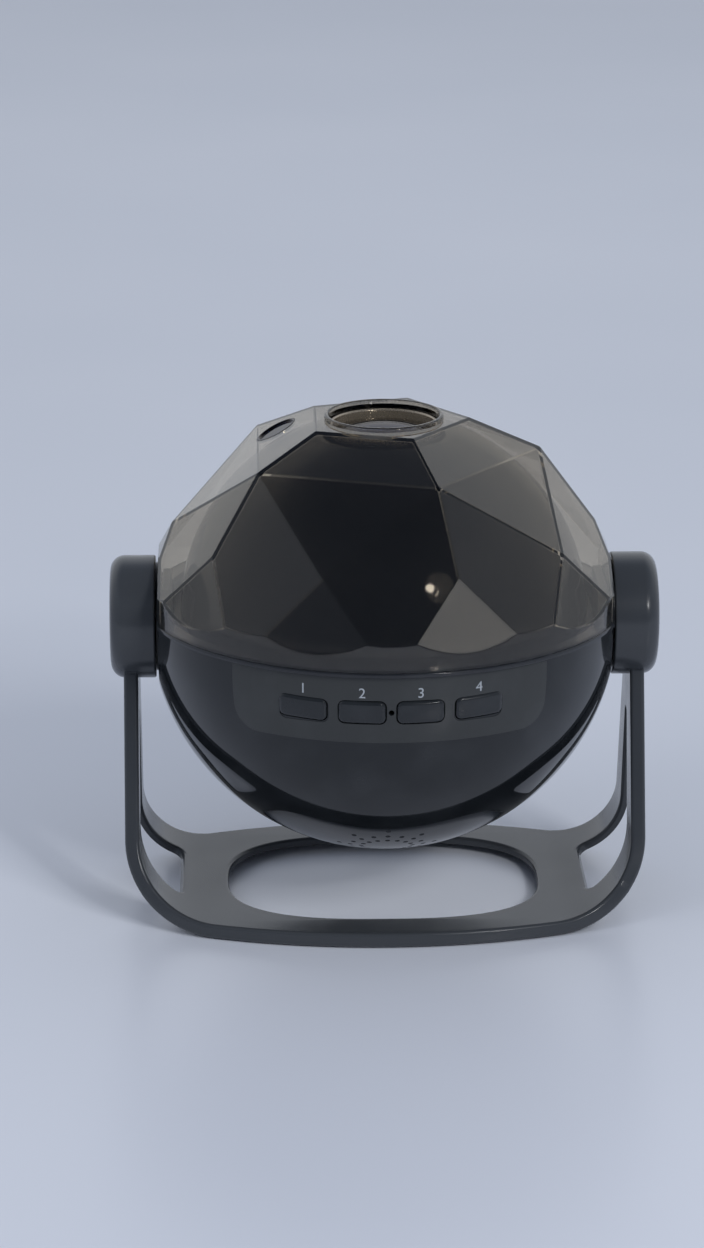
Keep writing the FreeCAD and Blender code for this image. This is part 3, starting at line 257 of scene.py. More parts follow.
@dataclass(frozen=True)
class SmokedPolycarbonate(Finish):
    """Clear polycarbonate with a smoke dye: sharp reflections, darker along its thickness."""

    dye: str = "#b09c6c"
    density: float = 300.0
    index: float = 1.585
    haze: float = 0.03
    smear: float = 18.0 * MM
    ripple: float = 12.0 * MM
    depth: float = 0.004 * MM

    def shade(self, on: Surface) -> None:
        """Dye in the volume, moulding ripple in the bump, faint haze in the roughness.

        Args:
            on: the surface.
        """
        smears = on.add_node(Kind.NOISE, on.place, 1 / self.smear, 3.0)
        ripple = on.add_node(Kind.NOISE, on.place, 1 / self.ripple, 1.0)
        on.put({
            "Transmission Weight": 1.0, "IOR": self.index,
            "Roughness": on.add_node(Kind.SPREAD, smears, self.roughness, self.roughness + self.haze, *USUAL),
            "Normal": on.add_node(Kind.BUMP, ripple, self.depth, 1.0),
        })
        dye = on.add_node(Kind.DYE, linear(self.dye), self.density)
        on.feed(on.tree.nodes["Material Output"], {"Volume": dye})


@dataclass(frozen=True)
class ClearOptic(Finish):
    """Moulded optical acrylic: clear, with a coating tint in the reflection."""

    mirror: float = 0.5
    index: float = 1.49
    coating: tuple[float, float] = (110.0, 1.38)    # nanometres and refractive index
    speck: float = 0.6 * MM

    def shade(self, on: Surface) -> None:
        """Full transmission with a thin coating and a trace of dust.

        Args:
            on: the surface.
        """
        specks = on.add_node(Kind.NOISE, on.place, 1 / self.speck, 0.0)
        dust = on.add_node(Kind.SPREAD, specks, 0.0, 0.2, 0.7, 0.78)
        on.put({
            "Transmission Weight": 1.0, "Specular IOR Level": self.mirror, "IOR": self.index,
            "Thin Film Thickness": self.coating[0], "Thin Film IOR": self.coating[1],
            "Roughness": on.add_node(Kind.SUM, dust, self.roughness),
        })


@dataclass(frozen=True)
class BlotchedGlass(ClearOptic):
    """Cast plate with soft colour clouds and waves, which draw the nebula."""

    clouds: tuple[str, str] = ("#3c6fd8", "#d0509a")
    cloud: float = 7.0 * MM
    wave: float = 3.0 * MM
    depth: float = 0.6 * MM

    def shade(self, on: Surface) -> None:
        """Colour clouds in the base, deep slow waves in the bump.

        Args:
            on: the surface.
        """
        super().shade(on)
        clouds = on.add_node(Kind.NOISE, on.place, 1 / self.cloud, 2.0)
        share = on.add_node(Kind.SPREAD, clouds, 0.0, 1.0, 0.35, 0.65)
        waves = on.add_node(Kind.NOISE, on.place, 1 / self.wave, 1.0)
        on.put({
            "Base Color": on.add_node(Kind.TONE, share, *map(linear, self.clouds)),
            "Normal": on.add_node(Kind.BUMP, waves, self.depth, 1.0),
        })


@dataclass(frozen=True)
class MouldedRubber(Finish):
    """Injection-moulded TPE: matt, with dust in its fine grain."""

    dust: str = "#5a5a58"
    patch: float = 5.0 * MM
    grain: float = 0.5 * MM
    depth: float = 0.03 * MM

    def shade(self, on: Surface) -> None:
        """Dusty tone and coarse soft grain.

        Args:
            on: the surface.
        """
        patches = on.add_node(Kind.NOISE, on.place, 1 / self.patch, 5.0)
        dusty = on.add_node(Kind.SPREAD, patches, 0.0, 0.5, 0.5, 0.8)
        grain = on.add_node(Kind.NOISE, on.place, 1 / self.grain, 2.0)
        on.put({
            "Base Color": on.add_node(Kind.TONE, dusty, linear(self.colour), linear(self.dust)),
            "Normal": on.add_node(Kind.BUMP, grain, self.depth, 1.0),
        })


@dataclass(frozen=True)
class MetallicLacquer(Finish):
    """Sprayed metallic lacquer over ABS: champagne flake under a clear coat."""

    glint: str = "#b8ac98"
    flake: float = 0.3 * MM       # real flake is far finer, drawn coarser so that it shows

    def shade(self, on: Surface) -> None:
        """Flake sparkle in the base tone under a smooth coat.

        Args:
            on: the surface.
        """
        flake = on.add_node(Kind.NOISE, on.place, 1 / self.flake, 0.0)
        smooth, rough = self.roughness - 0.06, self.roughness + 0.08
        on.put({
            "Metallic": 0.75, "Coat Weight": 0.6, "Coat Roughness": 0.08,
            "Base Color": on.add_node(Kind.TONE, flake, linear(self.colour), linear(self.glint)),
            "Roughness": on.add_node(Kind.SPREAD, flake, smooth, rough, *USUAL),
        })


@dataclass(frozen=True)
class DrawnMetal(Finish):
    """Plated or drawn metal: fine lines along the way it was worked, a few dull stains."""

    stain: str = "#5c5a58"
    blot: float = 6.0 * MM
    line: float = 0.4 * MM        # finer on the real one, drawn coarser so that it shows
    depth: float = 0.01 * MM

    def shade(self, on: Surface) -> None:
        """Fine drawn lines in the bump and roughness, stains in the tone.

        Args:
            on: the surface.
        """
        blots = on.add_node(Kind.NOISE, on.place, 1 / self.blot, 4.0)
        stained = on.add_node(Kind.SPREAD, blots, 0.0, 0.6, 0.5, 0.75)
        lines = on.add_node(Kind.WAVES, on.place, 0.3 / self.line, 1.5, 2.0)
        smooth, rough = self.roughness - 0.05, self.roughness + 0.1
        on.put({
            "Metallic": 1.0,
            "Base Color": on.add_node(Kind.TONE, stained, linear(self.colour), linear(self.stain)),
            "Roughness": on.add_node(Kind.SPREAD, lines, smooth, rough, 0.0, 1.0),
            "Normal": on.add_node(Kind.BUMP, lines, self.depth, 1.0),
        })


@dataclass(frozen=True)
class SolderMask(Finish):
    """Glass-fibre board under solder mask: copper traces show as paler raised lines."""

    trace: str = "#2f7a4c"
    pitch: float = 2.4 * MM
    depth: float = 0.03 * MM

    def shade(self, on: Surface) -> None:
        """Square-cornered traces in tone and bump.

        Args:
            on: the surface.
        """
        cells = on.add_node(Kind.BRICKS, on.place, 1 / self.pitch, 0.12, 1.6, 0.5)
        on.put({
            "Base Color": on.add_node(Kind.TONE, cells, linear(self.colour), linear(self.trace)),
            "Normal": on.add_node(Kind.BUMP, cells, self.depth, 1.0),
        })


@dataclass(frozen=True)
class PrintedInk(Finish):
    """Pad-printed ink: flat pale tone with slightly starved edges."""

    starved: str = "#8d9298"
    blot: float = 0.4 * MM

    def shade(self, on: Surface) -> None:
        """Uneven ink in the tone.

        Args:
            on: the surface.
        """
        blots = on.add_node(Kind.NOISE, on.place, 1 / self.blot, 2.0)
        thin = on.add_node(Kind.SPREAD, blots, 0.0, 0.5, 0.5, 0.75)
        on.put({"Base Color": on.add_node(Kind.TONE, thin, linear(self.colour), linear(self.starved))})


@dataclass(frozen=True)
class SatinTableTop(Finish):
    """Lacquered board: pale and even, with a soft mirror of what stands on it."""

    cloud: str = "#dce0ea"
    patch: float = 300.0 * MM
    peel: float = 4.0 * MM
    depth: float = 0.004 * MM

    def shade(self, on: Surface) -> None:
        """Slow tone change and faint orange peel.

        Args:
            on: the surface.
        """
        patches = on.add_node(Kind.NOISE, on.place, 1 / self.patch, 2.0)
        cloudy = on.add_node(Kind.SPREAD, patches, 0.0, 1.0, *USUAL)
        peel = on.add_node(Kind.NOISE, on.place, 1 / self.peel, 2.0)
        on.put({
            "Base Color": on.add_node(Kind.TONE, cloudy, linear(self.colour), linear(self.cloud)),
            "Normal": on.add_node(Kind.BUMP, peel, self.depth, 1.0),
        })


STEEL = DrawnMetal("zinc_plated_steel", "#a9abb0", 0.3)
ACETAL = SparkErodedABS("moulded_acetal_white", "#d8d6cf", 0.4, "#e6e4dd")
EPOXY = MouldedRubber("moulded_epoxy_chip", "#17171a", 0.5)
NEBULA_GLASS = BlotchedGlass("cast_acrylic_nebula", "#8899cc", 0.03)
PANEL_FILM = PolishedPlastic("polished_film_panel", "#2e3030", 0.12)
PAD_INK = PrintedInk("pad_printed_ink", "#a4aab0", 0.5)
TABLE_TOP = SatinTableTop("lacquered_table_top", "#d6dbe6", 0.3)

SLOT_FINISH: dict[str, Finish] = {
    "yoke_matte": SparkErodedABS("spark_eroded_abs_graphite", "#3a3d41", 0.19),
    "cap_matte": SparkErodedABS("spark_eroded_abs_cap", "#363a3e", 0.24),
    "foot_rubber": MouldedRubber("moulded_tpe_foot", "#191919", 0.75),
    "spring_steel": STEEL,
    "slide_plastic": ACETAL,
    "collar_black": SparkErodedABS("moulded_acetal_collar", "#0d0d0e", 0.4),
    "screw_steel": STEEL,
    "shell_gloss": PolishedPlastic("polished_abs_shell", "#14171a", 0.04),
    "trim_gloss": PolishedPlastic("polished_abs_trim", "#202226", 0.1),
    "dome_smoke": SmokedPolycarbonate("smoked_polycarbonate_dome", "#ffffff", 0.0),
    "inner_gloss": PolishedPlastic("polished_abs_inner_dome", "#121110", 0.05),
    "frame_black": SparkErodedABS("moulded_abs_black", "#1c1c1d", 0.45),
    "button_black": PolishedPlastic("polished_abs_button", "#1d2023", 0.2),
    "board_green": SolderMask("solder_mask_green", "#12502e", 0.3),
    "switch_black": EPOXY,
    "sink_alu": DrawnMetal("extruded_aluminium", "#cfd1d4", 0.35, "#9a9b9d"),
    "led_board_white": SolderMask("solder_mask_white", "#e8e8e4", 0.3, "#cfcfca"),
    "led_yellow": SparkErodedABS("silicone_over_phosphor", "#e0c34a", 0.5, "#efe0a0"),
    "optic_clear": ClearOptic("moulded_acrylic_clear", "#f2f5f8", 0.02),
    # painted shade: the clear acrylic of the crown lens and the star window is tinted dark navy to stand for the
    # shaded barrel behind it
    "lens_dark": ClearOptic("acrylic_lens_tinted_as_shade", "#1c2740", 0.0, 0.15),
    "bezel_gloss": MetallicLacquer("metallic_lacquer_bezel", "#a39480", 0.24),
    "gear_white": ACETAL,
    "motor_can": DrawnMetal("drawn_nickel_steel", "#b9bbbd", 0.25),
    "laser_brass": DrawnMetal("turned_brass", "#c9a253", 0.22, "#8a6a35"),
    "chip_black": EPOXY,
    "socket_steel": STEEL,
    "magnet_dark": MouldedRubber("sintered_ferrite", "#2a2a2c", 0.6),
    "cone_paper": MouldedRubber("pressed_paper_cone", "#202022", 0.85),
}


# ---------------------------------------------------------------- shapes
def rounded(corners: Sequence[tuple[float, float, float]], steps: int = 5) -> list[Point2]:
    """Round the corners of a closed outline.

    Args:
        corners: x, y and rounding radius of each corner.
        steps: straight steps in each rounding.

    Returns:
        The outline's points.
    """
    points: list[Point2] = []
    for index, (x, y, radius) in enumerate(corners):
        if radius == 0:
            points.append((x, y))
            continue
        here = Vector((x, y))
        before = (Vector(corners[index - 1][:2]) - here).normalized()
        after = (Vector(corners[(index + 1) % len(corners)][:2]) - here).normalized()
        half = before.angle(after) / 2
        middle = here + (before + after).normalized() * (radius / math.sin(half))
        first = here + before * (radius / math.tan(half)) - middle
        last = here + after * (radius / math.tan(half)) - middle
        start = math.atan2(first.y, first.x)
        turn = math.remainder(math.atan2(last.y, last.x) - start, 2 * math.pi)
        for step in range(steps + 1):
            angle = start + turn * step / steps
            points.append((middle.x + radius * math.cos(angle), middle.y + radius * math.sin(angle)))
    return points


def rounded_box(x: float, y: float, radius: float, steps: int) -> list[Point2]:
    """Outline of a box about the origin, from its half sizes and the radius of its corners."""
    return rounded([(-x, -y, radius), (x, -y, radius), (x, y, radius), (-x, y, radius)], steps)


def arc(radius: float, start: float, end: float, steps: int) -> list[Point2]:
    """Points on a circle about the origin, angles in degrees from the equator."""
    angles = [math.radians(start + (end - start) * step / steps) for step in range(steps + 1)]
    return [(radius * math.cos(a), radius * math.sin(a)) for a in angles]


def moved(mesh: Mesh, matrix: Matrix) -> Mesh:
    """Move a whole mesh by a matrix.

    Args:
        mesh: the mesh.
        matrix: the move, which may mirror.

    Returns:
        The same mesh.
    """
    bmesh.ops.transform(mesh, matrix=matrix, verts=mesh.verts)
    if matrix.determinant() < 0:
        bmesh.ops.reverse_faces(mesh, faces=mesh.faces)
    return mesh


def lathe(profile: Sequence[Point2], segments: int = 128, matrix: Matrix = AT_CENTRE) -> Mesh:
    """Turn a closed profile about Z and put it in its place.

    Args:
        profile: radius and height of each point.
        segments: steps round the axis.
        matrix: where it goes, by default the ball's middle.

    Returns:
        The closed mesh.
    """
    mesh = bmesh.new()
    rings = []
    for radius, height in profile:
        count = 1 if radius < 1e-9 else segments
        angles = [2 * math.pi * step / segments for step in range(count)]
        rings.append([mesh.verts.new((radius * math.cos(a), radius * math.sin(a), height)) for a in angles])
    for low, high in zip(rings, rings[1:] + rings[:1]):
        if len(low) == 1 and len(high) == 1:
            continue
        for near in range(segments):
            far = (near + 1) % segments
            loop = [low[near % len(low)], low[far % len(low)], high[far % len(high)], high[near % len(high)]]
            mesh.faces.new(list(dict.fromkeys(loop)))
    bmesh.ops.recalc_face_normals(mesh, faces=mesh.faces)
    return moved(mesh, matrix)


def curve_mesh(curve: bpy.types.Curve) -> Mesh:
    """Turn a curve into a mesh, and delete the curve.

    Args:
        curve: the curve or text.

    Returns:
        Its mesh.
    """
    holder = bpy.data.objects.new("curve", curve)
    flat = bpy.data.meshes.new_from_object(holder)
    mesh = bmesh.new()
    mesh.from_mesh(flat)
    bpy.data.objects.remove(holder)
    bpy.data.curves.remove(curve)
    bpy.data.meshes.remove(flat)
    return mesh


def plate(outline: Sequence[Point2], holes: Iterable[Sequence[Point2]], thickness: float,
          edge: float) -> Mesh:
    """Flat plate in the XY plane, centred on Z, with rounded edges.

    Args:
        outline: its outer outline.
        holes: outlines of its holes.
        thickness: full thickness.
        edge: rounding radius of its edges.

    Returns:
        The closed mesh.
    """
    curve = bpy.data.curves.new("plate", "CURVE")
    curve.dimensions = "2D"
    curve.fill_mode = "BOTH"
    curve.bevel_depth = edge
    curve.bevel_resolution = 3
    curve.offset = -edge
    curve.extrude = thickness / 2 - edge
    for points in (outline, *holes):
        spline = curve.splines.new("POLY")
        spline.points.add(len(points) - 1)
        for point, (x, y) in zip(spline.points, points):
            point.co = (x, y, 0.0, 1.0)
        spline.use_cyclic_u = True
    mesh = curve_mesh(curve)
    bmesh.ops.remove_doubles(mesh, verts=mesh.verts, dist=0.002 * MM)
    bmesh.ops.recalc_face_normals(mesh, faces=mesh.faces)
    return mesh


def slice_across(mesh: Mesh, axis: int, places: Iterable[float]) -> None:
    """Cut edges across a mesh so that it can bend there.

    Args:
        mesh: the mesh.
        axis: 0, 1 or 2 for X, Y or Z.
        places: where to cut along that axis.
    """
    normal = Vector((0.0, 0.0, 0.0))
    normal[axis] = 1.0
    for place in places:
        geometry = mesh.verts[:] + mesh.edges[:] + mesh.faces[:]
        bmesh.ops.bisect_plane(mesh, geom=geometry, plane_co=normal * place, plane_no=normal)


def warp(mesh: Mesh, move: Callable[[Vector], Vector]) -> Mesh:
    """Move every vertex by a rule.

    Args:
        mesh: the mesh.
        move: gives each vertex its new place.

    Returns:
        The same mesh.
    """
    for vertex in mesh.verts:
        vertex.co = move(vertex.co.copy())
    return mesh


def merged(meshes: Iterable[Mesh]) -> Mesh:
    """Put several meshes into one.

    Args:
        meshes: the meshes, which are freed.

    Returns:
        The new mesh.
    """
    result = bmesh.new()
    for mesh in meshes:
        loose = bpy.data.meshes.new("loose")
        mesh.to_mesh(loose)
        result.from_mesh(loose)
        bpy.data.meshes.remove(loose)
        mesh.free()
    return result


def raw_object(name: str, mesh: Mesh) -> bpy.types.Object:
    """Put a mesh into a new object in the scene.

    Args:
        name: the object's name.
        mesh: the mesh, which is freed.

    Returns:
        The object.
    """
    data = bpy.data.meshes.new(name)
    mesh.to_mesh(data)
    mesh.free()
    made = bpy.data.objects.new(name, data)
    bpy.context.scene.collection.objects.link(made)
    return made


def carve(body: Mesh, tools: Sequence[Mesh], operation: str = "DIFFERENCE") -> Mesh:
    """Cut meshes out of a solid, or weld them on, one after another.

    Args:
        body: the solid.
        tools: closed meshes to take away or add.
        operation: "DIFFERENCE" or "UNION".

    Returns:
        The new solid.
    """
    target = raw_object("carved", body)
    cutters = [raw_object("tool", tool) for tool in tools]
    for cutter in cutters:
        step = target.modifiers.new("cut", "BOOLEAN")
        step.operation = operation
        step.solver = "EXACT"
        step.object = cutter
    graph = bpy.context.evaluated_depsgraph_get()
    result = bmesh.new()
    result.from_mesh(target.evaluated_get(graph).to_mesh())
    for used in (target, *cutters):
        data = used.data
        bpy.data.objects.remove(used)
        bpy.data.meshes.remove(data)
    return result


def pin_mesh(radius: float, start: Vector, end: Vector, segments: int = 24) -> Mesh:
    """Closed round bar between two points, used for cutting.

    Args:
        radius: its radius.
        start: middle of one end.
        end: middle of the other.
        segments: steps round it.

    Returns:
        The closed mesh.
    """
    way = end - start
    turn = way.to_track_quat("Z", "Y").to_matrix().to_4x4()
    profile = [(0.0, 0.0), (radius, 0.0), (radius, way.length), (0.0, way.length)]
    return lathe(profile, segments, Matrix.Translation(start) @ turn)


def both_sides(mesh: Mesh) -> tuple[Mesh, Mesh]:
    """Return a mesh and its mirror image across the YZ plane."""
    twin = mesh.copy()
    return mesh, moved(twin, Matrix.Scale(-1.0, 4, (1.0, 0.0, 0.0)))


def true_round(piece: bpy.types.Object, radii: Sequence[float]) -> None:
    """Give a mesh exact normals where it lies on spheres about the ball's middle, so reflections run clean.

    Args:
        piece: the object.
        radii: radii of the spheres.
    """
    data = piece.data
    normals = [Vector(corner.vector) for corner in data.corner_normals]
    for polygon in data.polygons:
        reach = [(data.vertices[index].co - CENTRE).length for index in polygon.vertices]
        for radius in radii:
            if all(abs(length - radius) < 0.03 * MM for length in reach):
                for loop in polygon.loop_indices:
                    way = (data.vertices[data.loops[loop].vertex_index].co - CENTRE).normalized()
                    normals[loop] = way if way.dot(polygon.normal) > 0 else -way
    data.normals_split_custom_set(normals)


# ---------------------------------------------------------------- sub-assemblies
@dataclass
class SubAssembly(ABC):
    """A group of pieces that is built, dressed and reported together."""

    pieces: dict[str, bpy.types.Object] = field(default_factory=dict, init=False)
    looks: dict[str, tuple[str, Finish]] = field(default_factory=dict, init=False)

    def add(self, name: str, mesh: Mesh, body: Body, nodes: Sequence[str], slot: str, smooth: float = 35.0,
            weighted: bool = True, finish: Finish | None = None) -> bpy.types.Object:
        """Make a piece from a mesh, tie it to the frame and keep it.

        Args:
            name: the piece's name.
            mesh: its mesh, in the frame's place.
            body: what it rides on.
            nodes: nodes of the frame that it stands for.
            slot: the slot it belongs to.
            smooth: edges bent more than this stay sharp, in degrees.
            weighted: keep flat faces flat next to their rounded edges.
            finish: its finish, where that isn't the slot's.

        Returns:
            The new object.
        """
        piece = raw_object(name, mesh)
        piece.data.shade_smooth()
        piece.data.set_sharp_from_angle(angle=math.radians(smooth))
        if weighted:
            even = piece.modifiers.new("even normals", "WEIGHTED_NORMAL")
            even.keep_sharp = True
            even.weight = 80
        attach(piece, body.value)
        if nodes:
            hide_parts(*nodes)
        self.pieces[name] = piece
        self.looks[name] = (slot, finish or SLOT_FINISH[slot])
        return piece

    def add_pair(self, name: str, mesh: Mesh, body: Body, nodes: Sequence[str], slot: str,
                 smooth: float = 35.0) -> None:
        """Make a right piece and its mirror image.

        Args:
            name: the pieces' name, with {} where the side goes.
            mesh: the right piece's mesh.
            body: what both ride on.
            nodes: nodes of the frame that they stand for, right then left.
            slot: the slot they belong to.
            smooth: edges bent more than this stay sharp, in degrees.
        """
        for side, half, node in zip(("right", "left"), both_sides(mesh), nodes):
            self.add(name.format(side), half, body, [node], slot, smooth)

    @abstractmethod
    def build(self) -> None:
        """Make the meshes and tie them to the frame."""

    def dress(self) -> None:
        """Give every piece its finish."""
        for name, (slot, finish) in self.looks.items():
            materials = self.pieces[name].data.materials
            materials.clear()
            materials.append(finish.material())

    def make(self) -> None:
        """Build and dress the pieces, and report them."""
        self.build()
        self.dress()
        for name, piece in self.pieces.items():
            LOG.info("%s: %s, %d faces", type(self).__name__, name, len(piece.data.polygons))


@dataclass
class YokeStand(SubAssembly):
    """Bent plate with a deep edge, a window, two leg slots and a hub on each leg."""

    edge: float = 4.0 * MM
    web: float = 2.2 * MM
    rim: float = 2.6 * MM
    rounding: float = 1.0 * MM
    pocket_round: float = 0.3 * MM
    bend: float = 24.0 * MM
    lift: float = 0.4 * MM
    leg_x: float = 72.0 * MM
    half_depth: float = 44.5 * MM
    leg_half_depth: float = 26.0 * MM
    neck: float = 10.0 * MM
    spread: float = math.radians(17.4)
    flare: float = math.radians(22.0)
    hub_radius: float = 17.0 * MM
    head_gap: float = 0.4 * MM
    window: tuple[float, float, float] = (43.6 * MM, 32.2 * MM, 2.72)
    slot_end: float = 58.0 * MM
    slot_half: tuple[float, float, float] = (17.6 * MM, 9.0 * MM, 2.0 * MM)
    slot_round: tuple[float, float, float] = (2.5 * MM, 60.0 * MM, 1.9 * MM)
    slot_top: float = 52.0 * MM
    hub_inner: float = 63.0 * MM
    hub_outer: float = 75.5 * MM
    hub_round: tuple[float, float, float] = (0.6 * MM, 4.0 * MM, 0.25 * MM)
    hub_bore: float = 7.05 * MM
    cap_radius: float = 12.8 * MM
    cap_gap: float = 0.12 * MM
    cap_depth: float = 1.5 * MM
    cap_ring: tuple[float, float, float, float] = (10.4 * MM, 10.1 * MM, 9.5 * MM, 9.2 * MM)
    cap_ring_round: tuple[float, float, float, float] = (0.2 * MM, 0.15 * MM, 0.15 * MM, 0.2 * MM)
    cap_ring_depth: float = 0.35 * MM
    cap_round: float = 0.45 * MM
    cap_dish: float = 0.25 * MM
    foot: tuple[float, float, float] = (46.0 * MM, 29.5 * MM, 4.5 * MM)
    foot_height: float = 1.0 * MM
    foot_hollow: float = 0.12 * MM
    foot_edge: tuple[float, float, float] = (1.2 * MM, 0.6 * MM, 0.35 * MM)
    boss_margin: float = 1.0 * MM
    boss_round: float = 0.3 * MM

    @property
    def flat(self) -> float:
        """Half length of the flat base."""
        return self.leg_x - self.bend

    @property
    def bend_end(self) -> float:
        """Distance from the middle of the base to the end of the bend, along the outside."""
        return self.flat + self.bend * math.pi / 2

    @property
    def neck_drop(self) -> float:
        """How far below the hub axis the leg leaves its hub."""
        return math.sqrt(self.hub_radius ** 2 - self.neck ** 2)

    def place(self, along: float, across: float, depth: float) -> Vector:
        """Point of the bent plate.

        Args:
            along: distance from the middle of the base, along the outside.
            across: distance from the middle, along Y.
            depth: distance in from the outside.

        Returns:
            The point in the frame.
        """
        side = math.copysign(1.0, along)
        reach = abs(along)
        if reach <= self.flat:
            return Vector((along, across, self.lift + depth))
        if reach <= self.bend_end:
            angle = (reach - self.flat) / self.bend
            radius = self.bend - depth
            x = self.flat + radius * math.sin(angle)
            return Vector((side * x, across, self.lift + self.bend - radius * math.cos(angle)))
        height = self.lift + self.bend + reach - self.bend_end
        return Vector((side * (self.leg_x - depth), across, height))

    def half_at(self, along: float) -> float:
        """Half the plate's depth: bowed in the base, widening down the leg.

        Args:
            along: distance from the middle of the base, along the outside.

        Returns:
            The half depth.
        """
        point = self.place(along, 0.0, self.edge / 2)
        drop = self.half_depth - self.leg_half_depth
        bow = (self.leg_x ** 2 + drop ** 2) / (2 * drop)
        plan = self.half_depth - bow + math.sqrt(bow ** 2 - point.x ** 2)
        bend_top = self.lift + self.bend
        if point.z < bend_top / 2:
            return plan
        neck_height = CENTRE.z - self.neck_drop
        leg = self.neck + (neck_height - max(point.z, bend_top)) * math.tan(self.spread)
        return min(plan, leg + max(bend_top - point.z, 0.0) * math.tan(self.flare))

    def outline(self, inset: float) -> list[Point2]:
        """Outline of the plate before it is bent.

        Args:
            inset: how far it is moved in.

        Returns:
            The outline's points.
        """
        radius = self.hub_radius - self.head_gap
        centre = self.bend_end + CENTRE.z - self.lift - self.bend
        steps = 70
        side = [(centre - self.neck_drop) * step / steps for step in range(steps + 1)]
        quarter = [(along, self.half_at(along) - inset / math.cos(self.spread)) for along in side]
        start = -math.acos(self.neck / radius)
        reach = radius - inset
        for step in range(17):
            angle = start + (math.pi / 2 - start) * step / 16
            quarter.append((centre + reach * math.sin(angle), reach * math.cos(angle)))
        right = quarter + [(x, -y) for x, y in reversed(quarter[:-1])]
        return right + [(-x, -y) for x, y in right[1:-1]]

    def window_outline(self) -> list[Point2]:
        """Rounded window in the base.

        Returns:
            The outline's points.
        """
        wide, deep, power = self.window
        points = []
        for step in range(120):
            angle = 2 * math.pi * step / 120
            x = math.copysign(abs(math.cos(angle)) ** (2 / power), math.cos(angle))
            y = math.copysign(abs(math.sin(angle)) ** (2 / power), math.sin(angle))
            points.append((wide * x, deep * y))
        return points

    def slot_outline(self, side: float) -> list[Point2]:
        """Slot of one leg, from below the hub round the bend.

        Args:
            side: 1 for the right leg, -1 for the left.

        Returns:
            The outline's points.
        """
        end, middle, top = self.slot_half
        end_round, middle_round, top_round = self.slot_round
        start = self.flat + self.bend * math.asin((self.slot_end - self.flat) / self.bend)
        high = self.bend_end + self.slot_top - self.lift - self.bend
        corners = [
            (start, -end, end_round), (start, end, end_round),
            (self.bend_end, middle, middle_round), (high + top, top, top_round),
            (high + top, -top, top_round), (self.bend_end, -middle, middle_round),
        ]
        return [(side * x, y) for x, y in rounded(corners, 6)]

    def plate_mesh(self) -> Mesh:
        """Plate with its pocket underneath, bent into the yoke.

        Returns:
            The closed mesh.
        """
        holes = [self.window_outline(), self.slot_outline(1.0), self.slot_outline(-1.0)]
        flat = plate(self.outline(0.0), holes, self.edge, self.rounding)
        pocket = plate(self.outline(self.rim), [], 2 * (self.edge - self.web), self.pocket_round)
        flat = carve(flat, [moved(pocket, Matrix.Translation((0.0, 0.0, -self.edge / 2)))])
        steps = 30
        stations = [self.flat + (self.bend_end - self.flat) * step / steps for step in range(steps + 1)]
        slice_across(flat, 0, stations + [-station for station in stations])
        return warp(flat, lambda p: self.place(p.x, p.y, p.z + self.edge / 2))

    def hub_mesh(self) -> Mesh:
        """Right hub, turned about the hub axis.

        Returns:
            The closed mesh.
        """
        seat = self.hub_outer - self.cap_depth
        recess = self.cap_radius + self.cap_gap
        inner, outer, lip = self.hub_round
        profile = rounded([
            (self.hub_bore, self.hub_inner, 0.0), (self.hub_radius, self.hub_inner, inner),
            (self.hub_radius, self.hub_outer, outer), (recess, self.hub_outer, lip),
            (recess, seat, 0.0), (self.hub_bore, seat, 0.0),
        ], 8)
        return lathe(profile, matrix=ON_HUB_AXIS)

    def cap_mesh(self) -> Mesh:
        """Right hub cap, slightly dished, with a shallow ring.

        Returns:
            The closed mesh.
        """
        face = self.hub_outer
        back = face - self.cap_depth
        low = face - self.cap_ring_depth
        ring = zip(self.cap_ring, (face, low, low, face), self.cap_ring_round)
        profile = rounded([
            (0.0, back, 0.0), (self.cap_radius, back, 0.0), (self.cap_radius, face, self.cap_round),
            *ring, (0.0, face - self.cap_dish, 0.0),
        ], 4)
        return lathe(profile, 96, ON_HUB_AXIS)

    def at_feet(self, profile: Sequence[Point2]) -> Mesh:
        """Turn one profile at each of the four feet.

        Args:
            profile: radius and height of each point.

        Returns:
            The closed meshes as one.
        """
        x, y, _ = self.foot
        spots = [(column, row, 0.0) for column in (-x, x) for row in (-y, y)]
        return merged([lathe(profile, 48, Matrix.Translation(spot)) for spot in spots])

    def feet_mesh(self) -> Mesh:
        """Four rubber feet with rounded edges.

        Returns:
            The closed meshes as one.
        """
        radius, high = self.foot[2], self.foot_height
        inset, inner, outer = self.foot_edge
        return self.at_feet(rounded([
            (0.0, self.foot_hollow, 0.0), (radius - inset, 0.0, inner), (radius, 0.0, outer),
            (radius, high, 0.0), (0.0, high, 0.0),
        ], 4))

    def boss_mesh(self) -> Mesh:
        """Round pads under the web that hold the feet.

        Returns:
            The closed meshes as one.
        """
        radius, low = self.foot[2] + self.boss_margin, self.foot_height
        high = self.lift + self.edge - self.web / 2
        corners = [(0.0, low, 0.0), (radius, low, self.boss_round), (radius, high, 0.0), (0.0, high, 0.0)]
        return self.at_feet(rounded(corners, 3))

    def build(self) -> None:
        """Make the stand, its hubs, caps and feet."""
        on, caps = Body.STAND, ["hub_cap_right", "hub_cap_left"]
        self.add("yoke_plate", self.plate_mesh(), on, ["yoke_stand"], "yoke_matte")
        self.add_pair("yoke_hub_{}", self.hub_mesh(), on, ["yoke_stand", "yoke_stand"], "yoke_matte")
        self.add("foot_pads", self.boss_mesh(), on, ["yoke_stand"], "yoke_matte")
        self.add_pair("hub_cap_{}_dished", self.cap_mesh(), on, caps, "cap_matte")
        self.add("rubber_feet", self.feet_mesh(), on, ["stand_feet"], "foot_rubber")


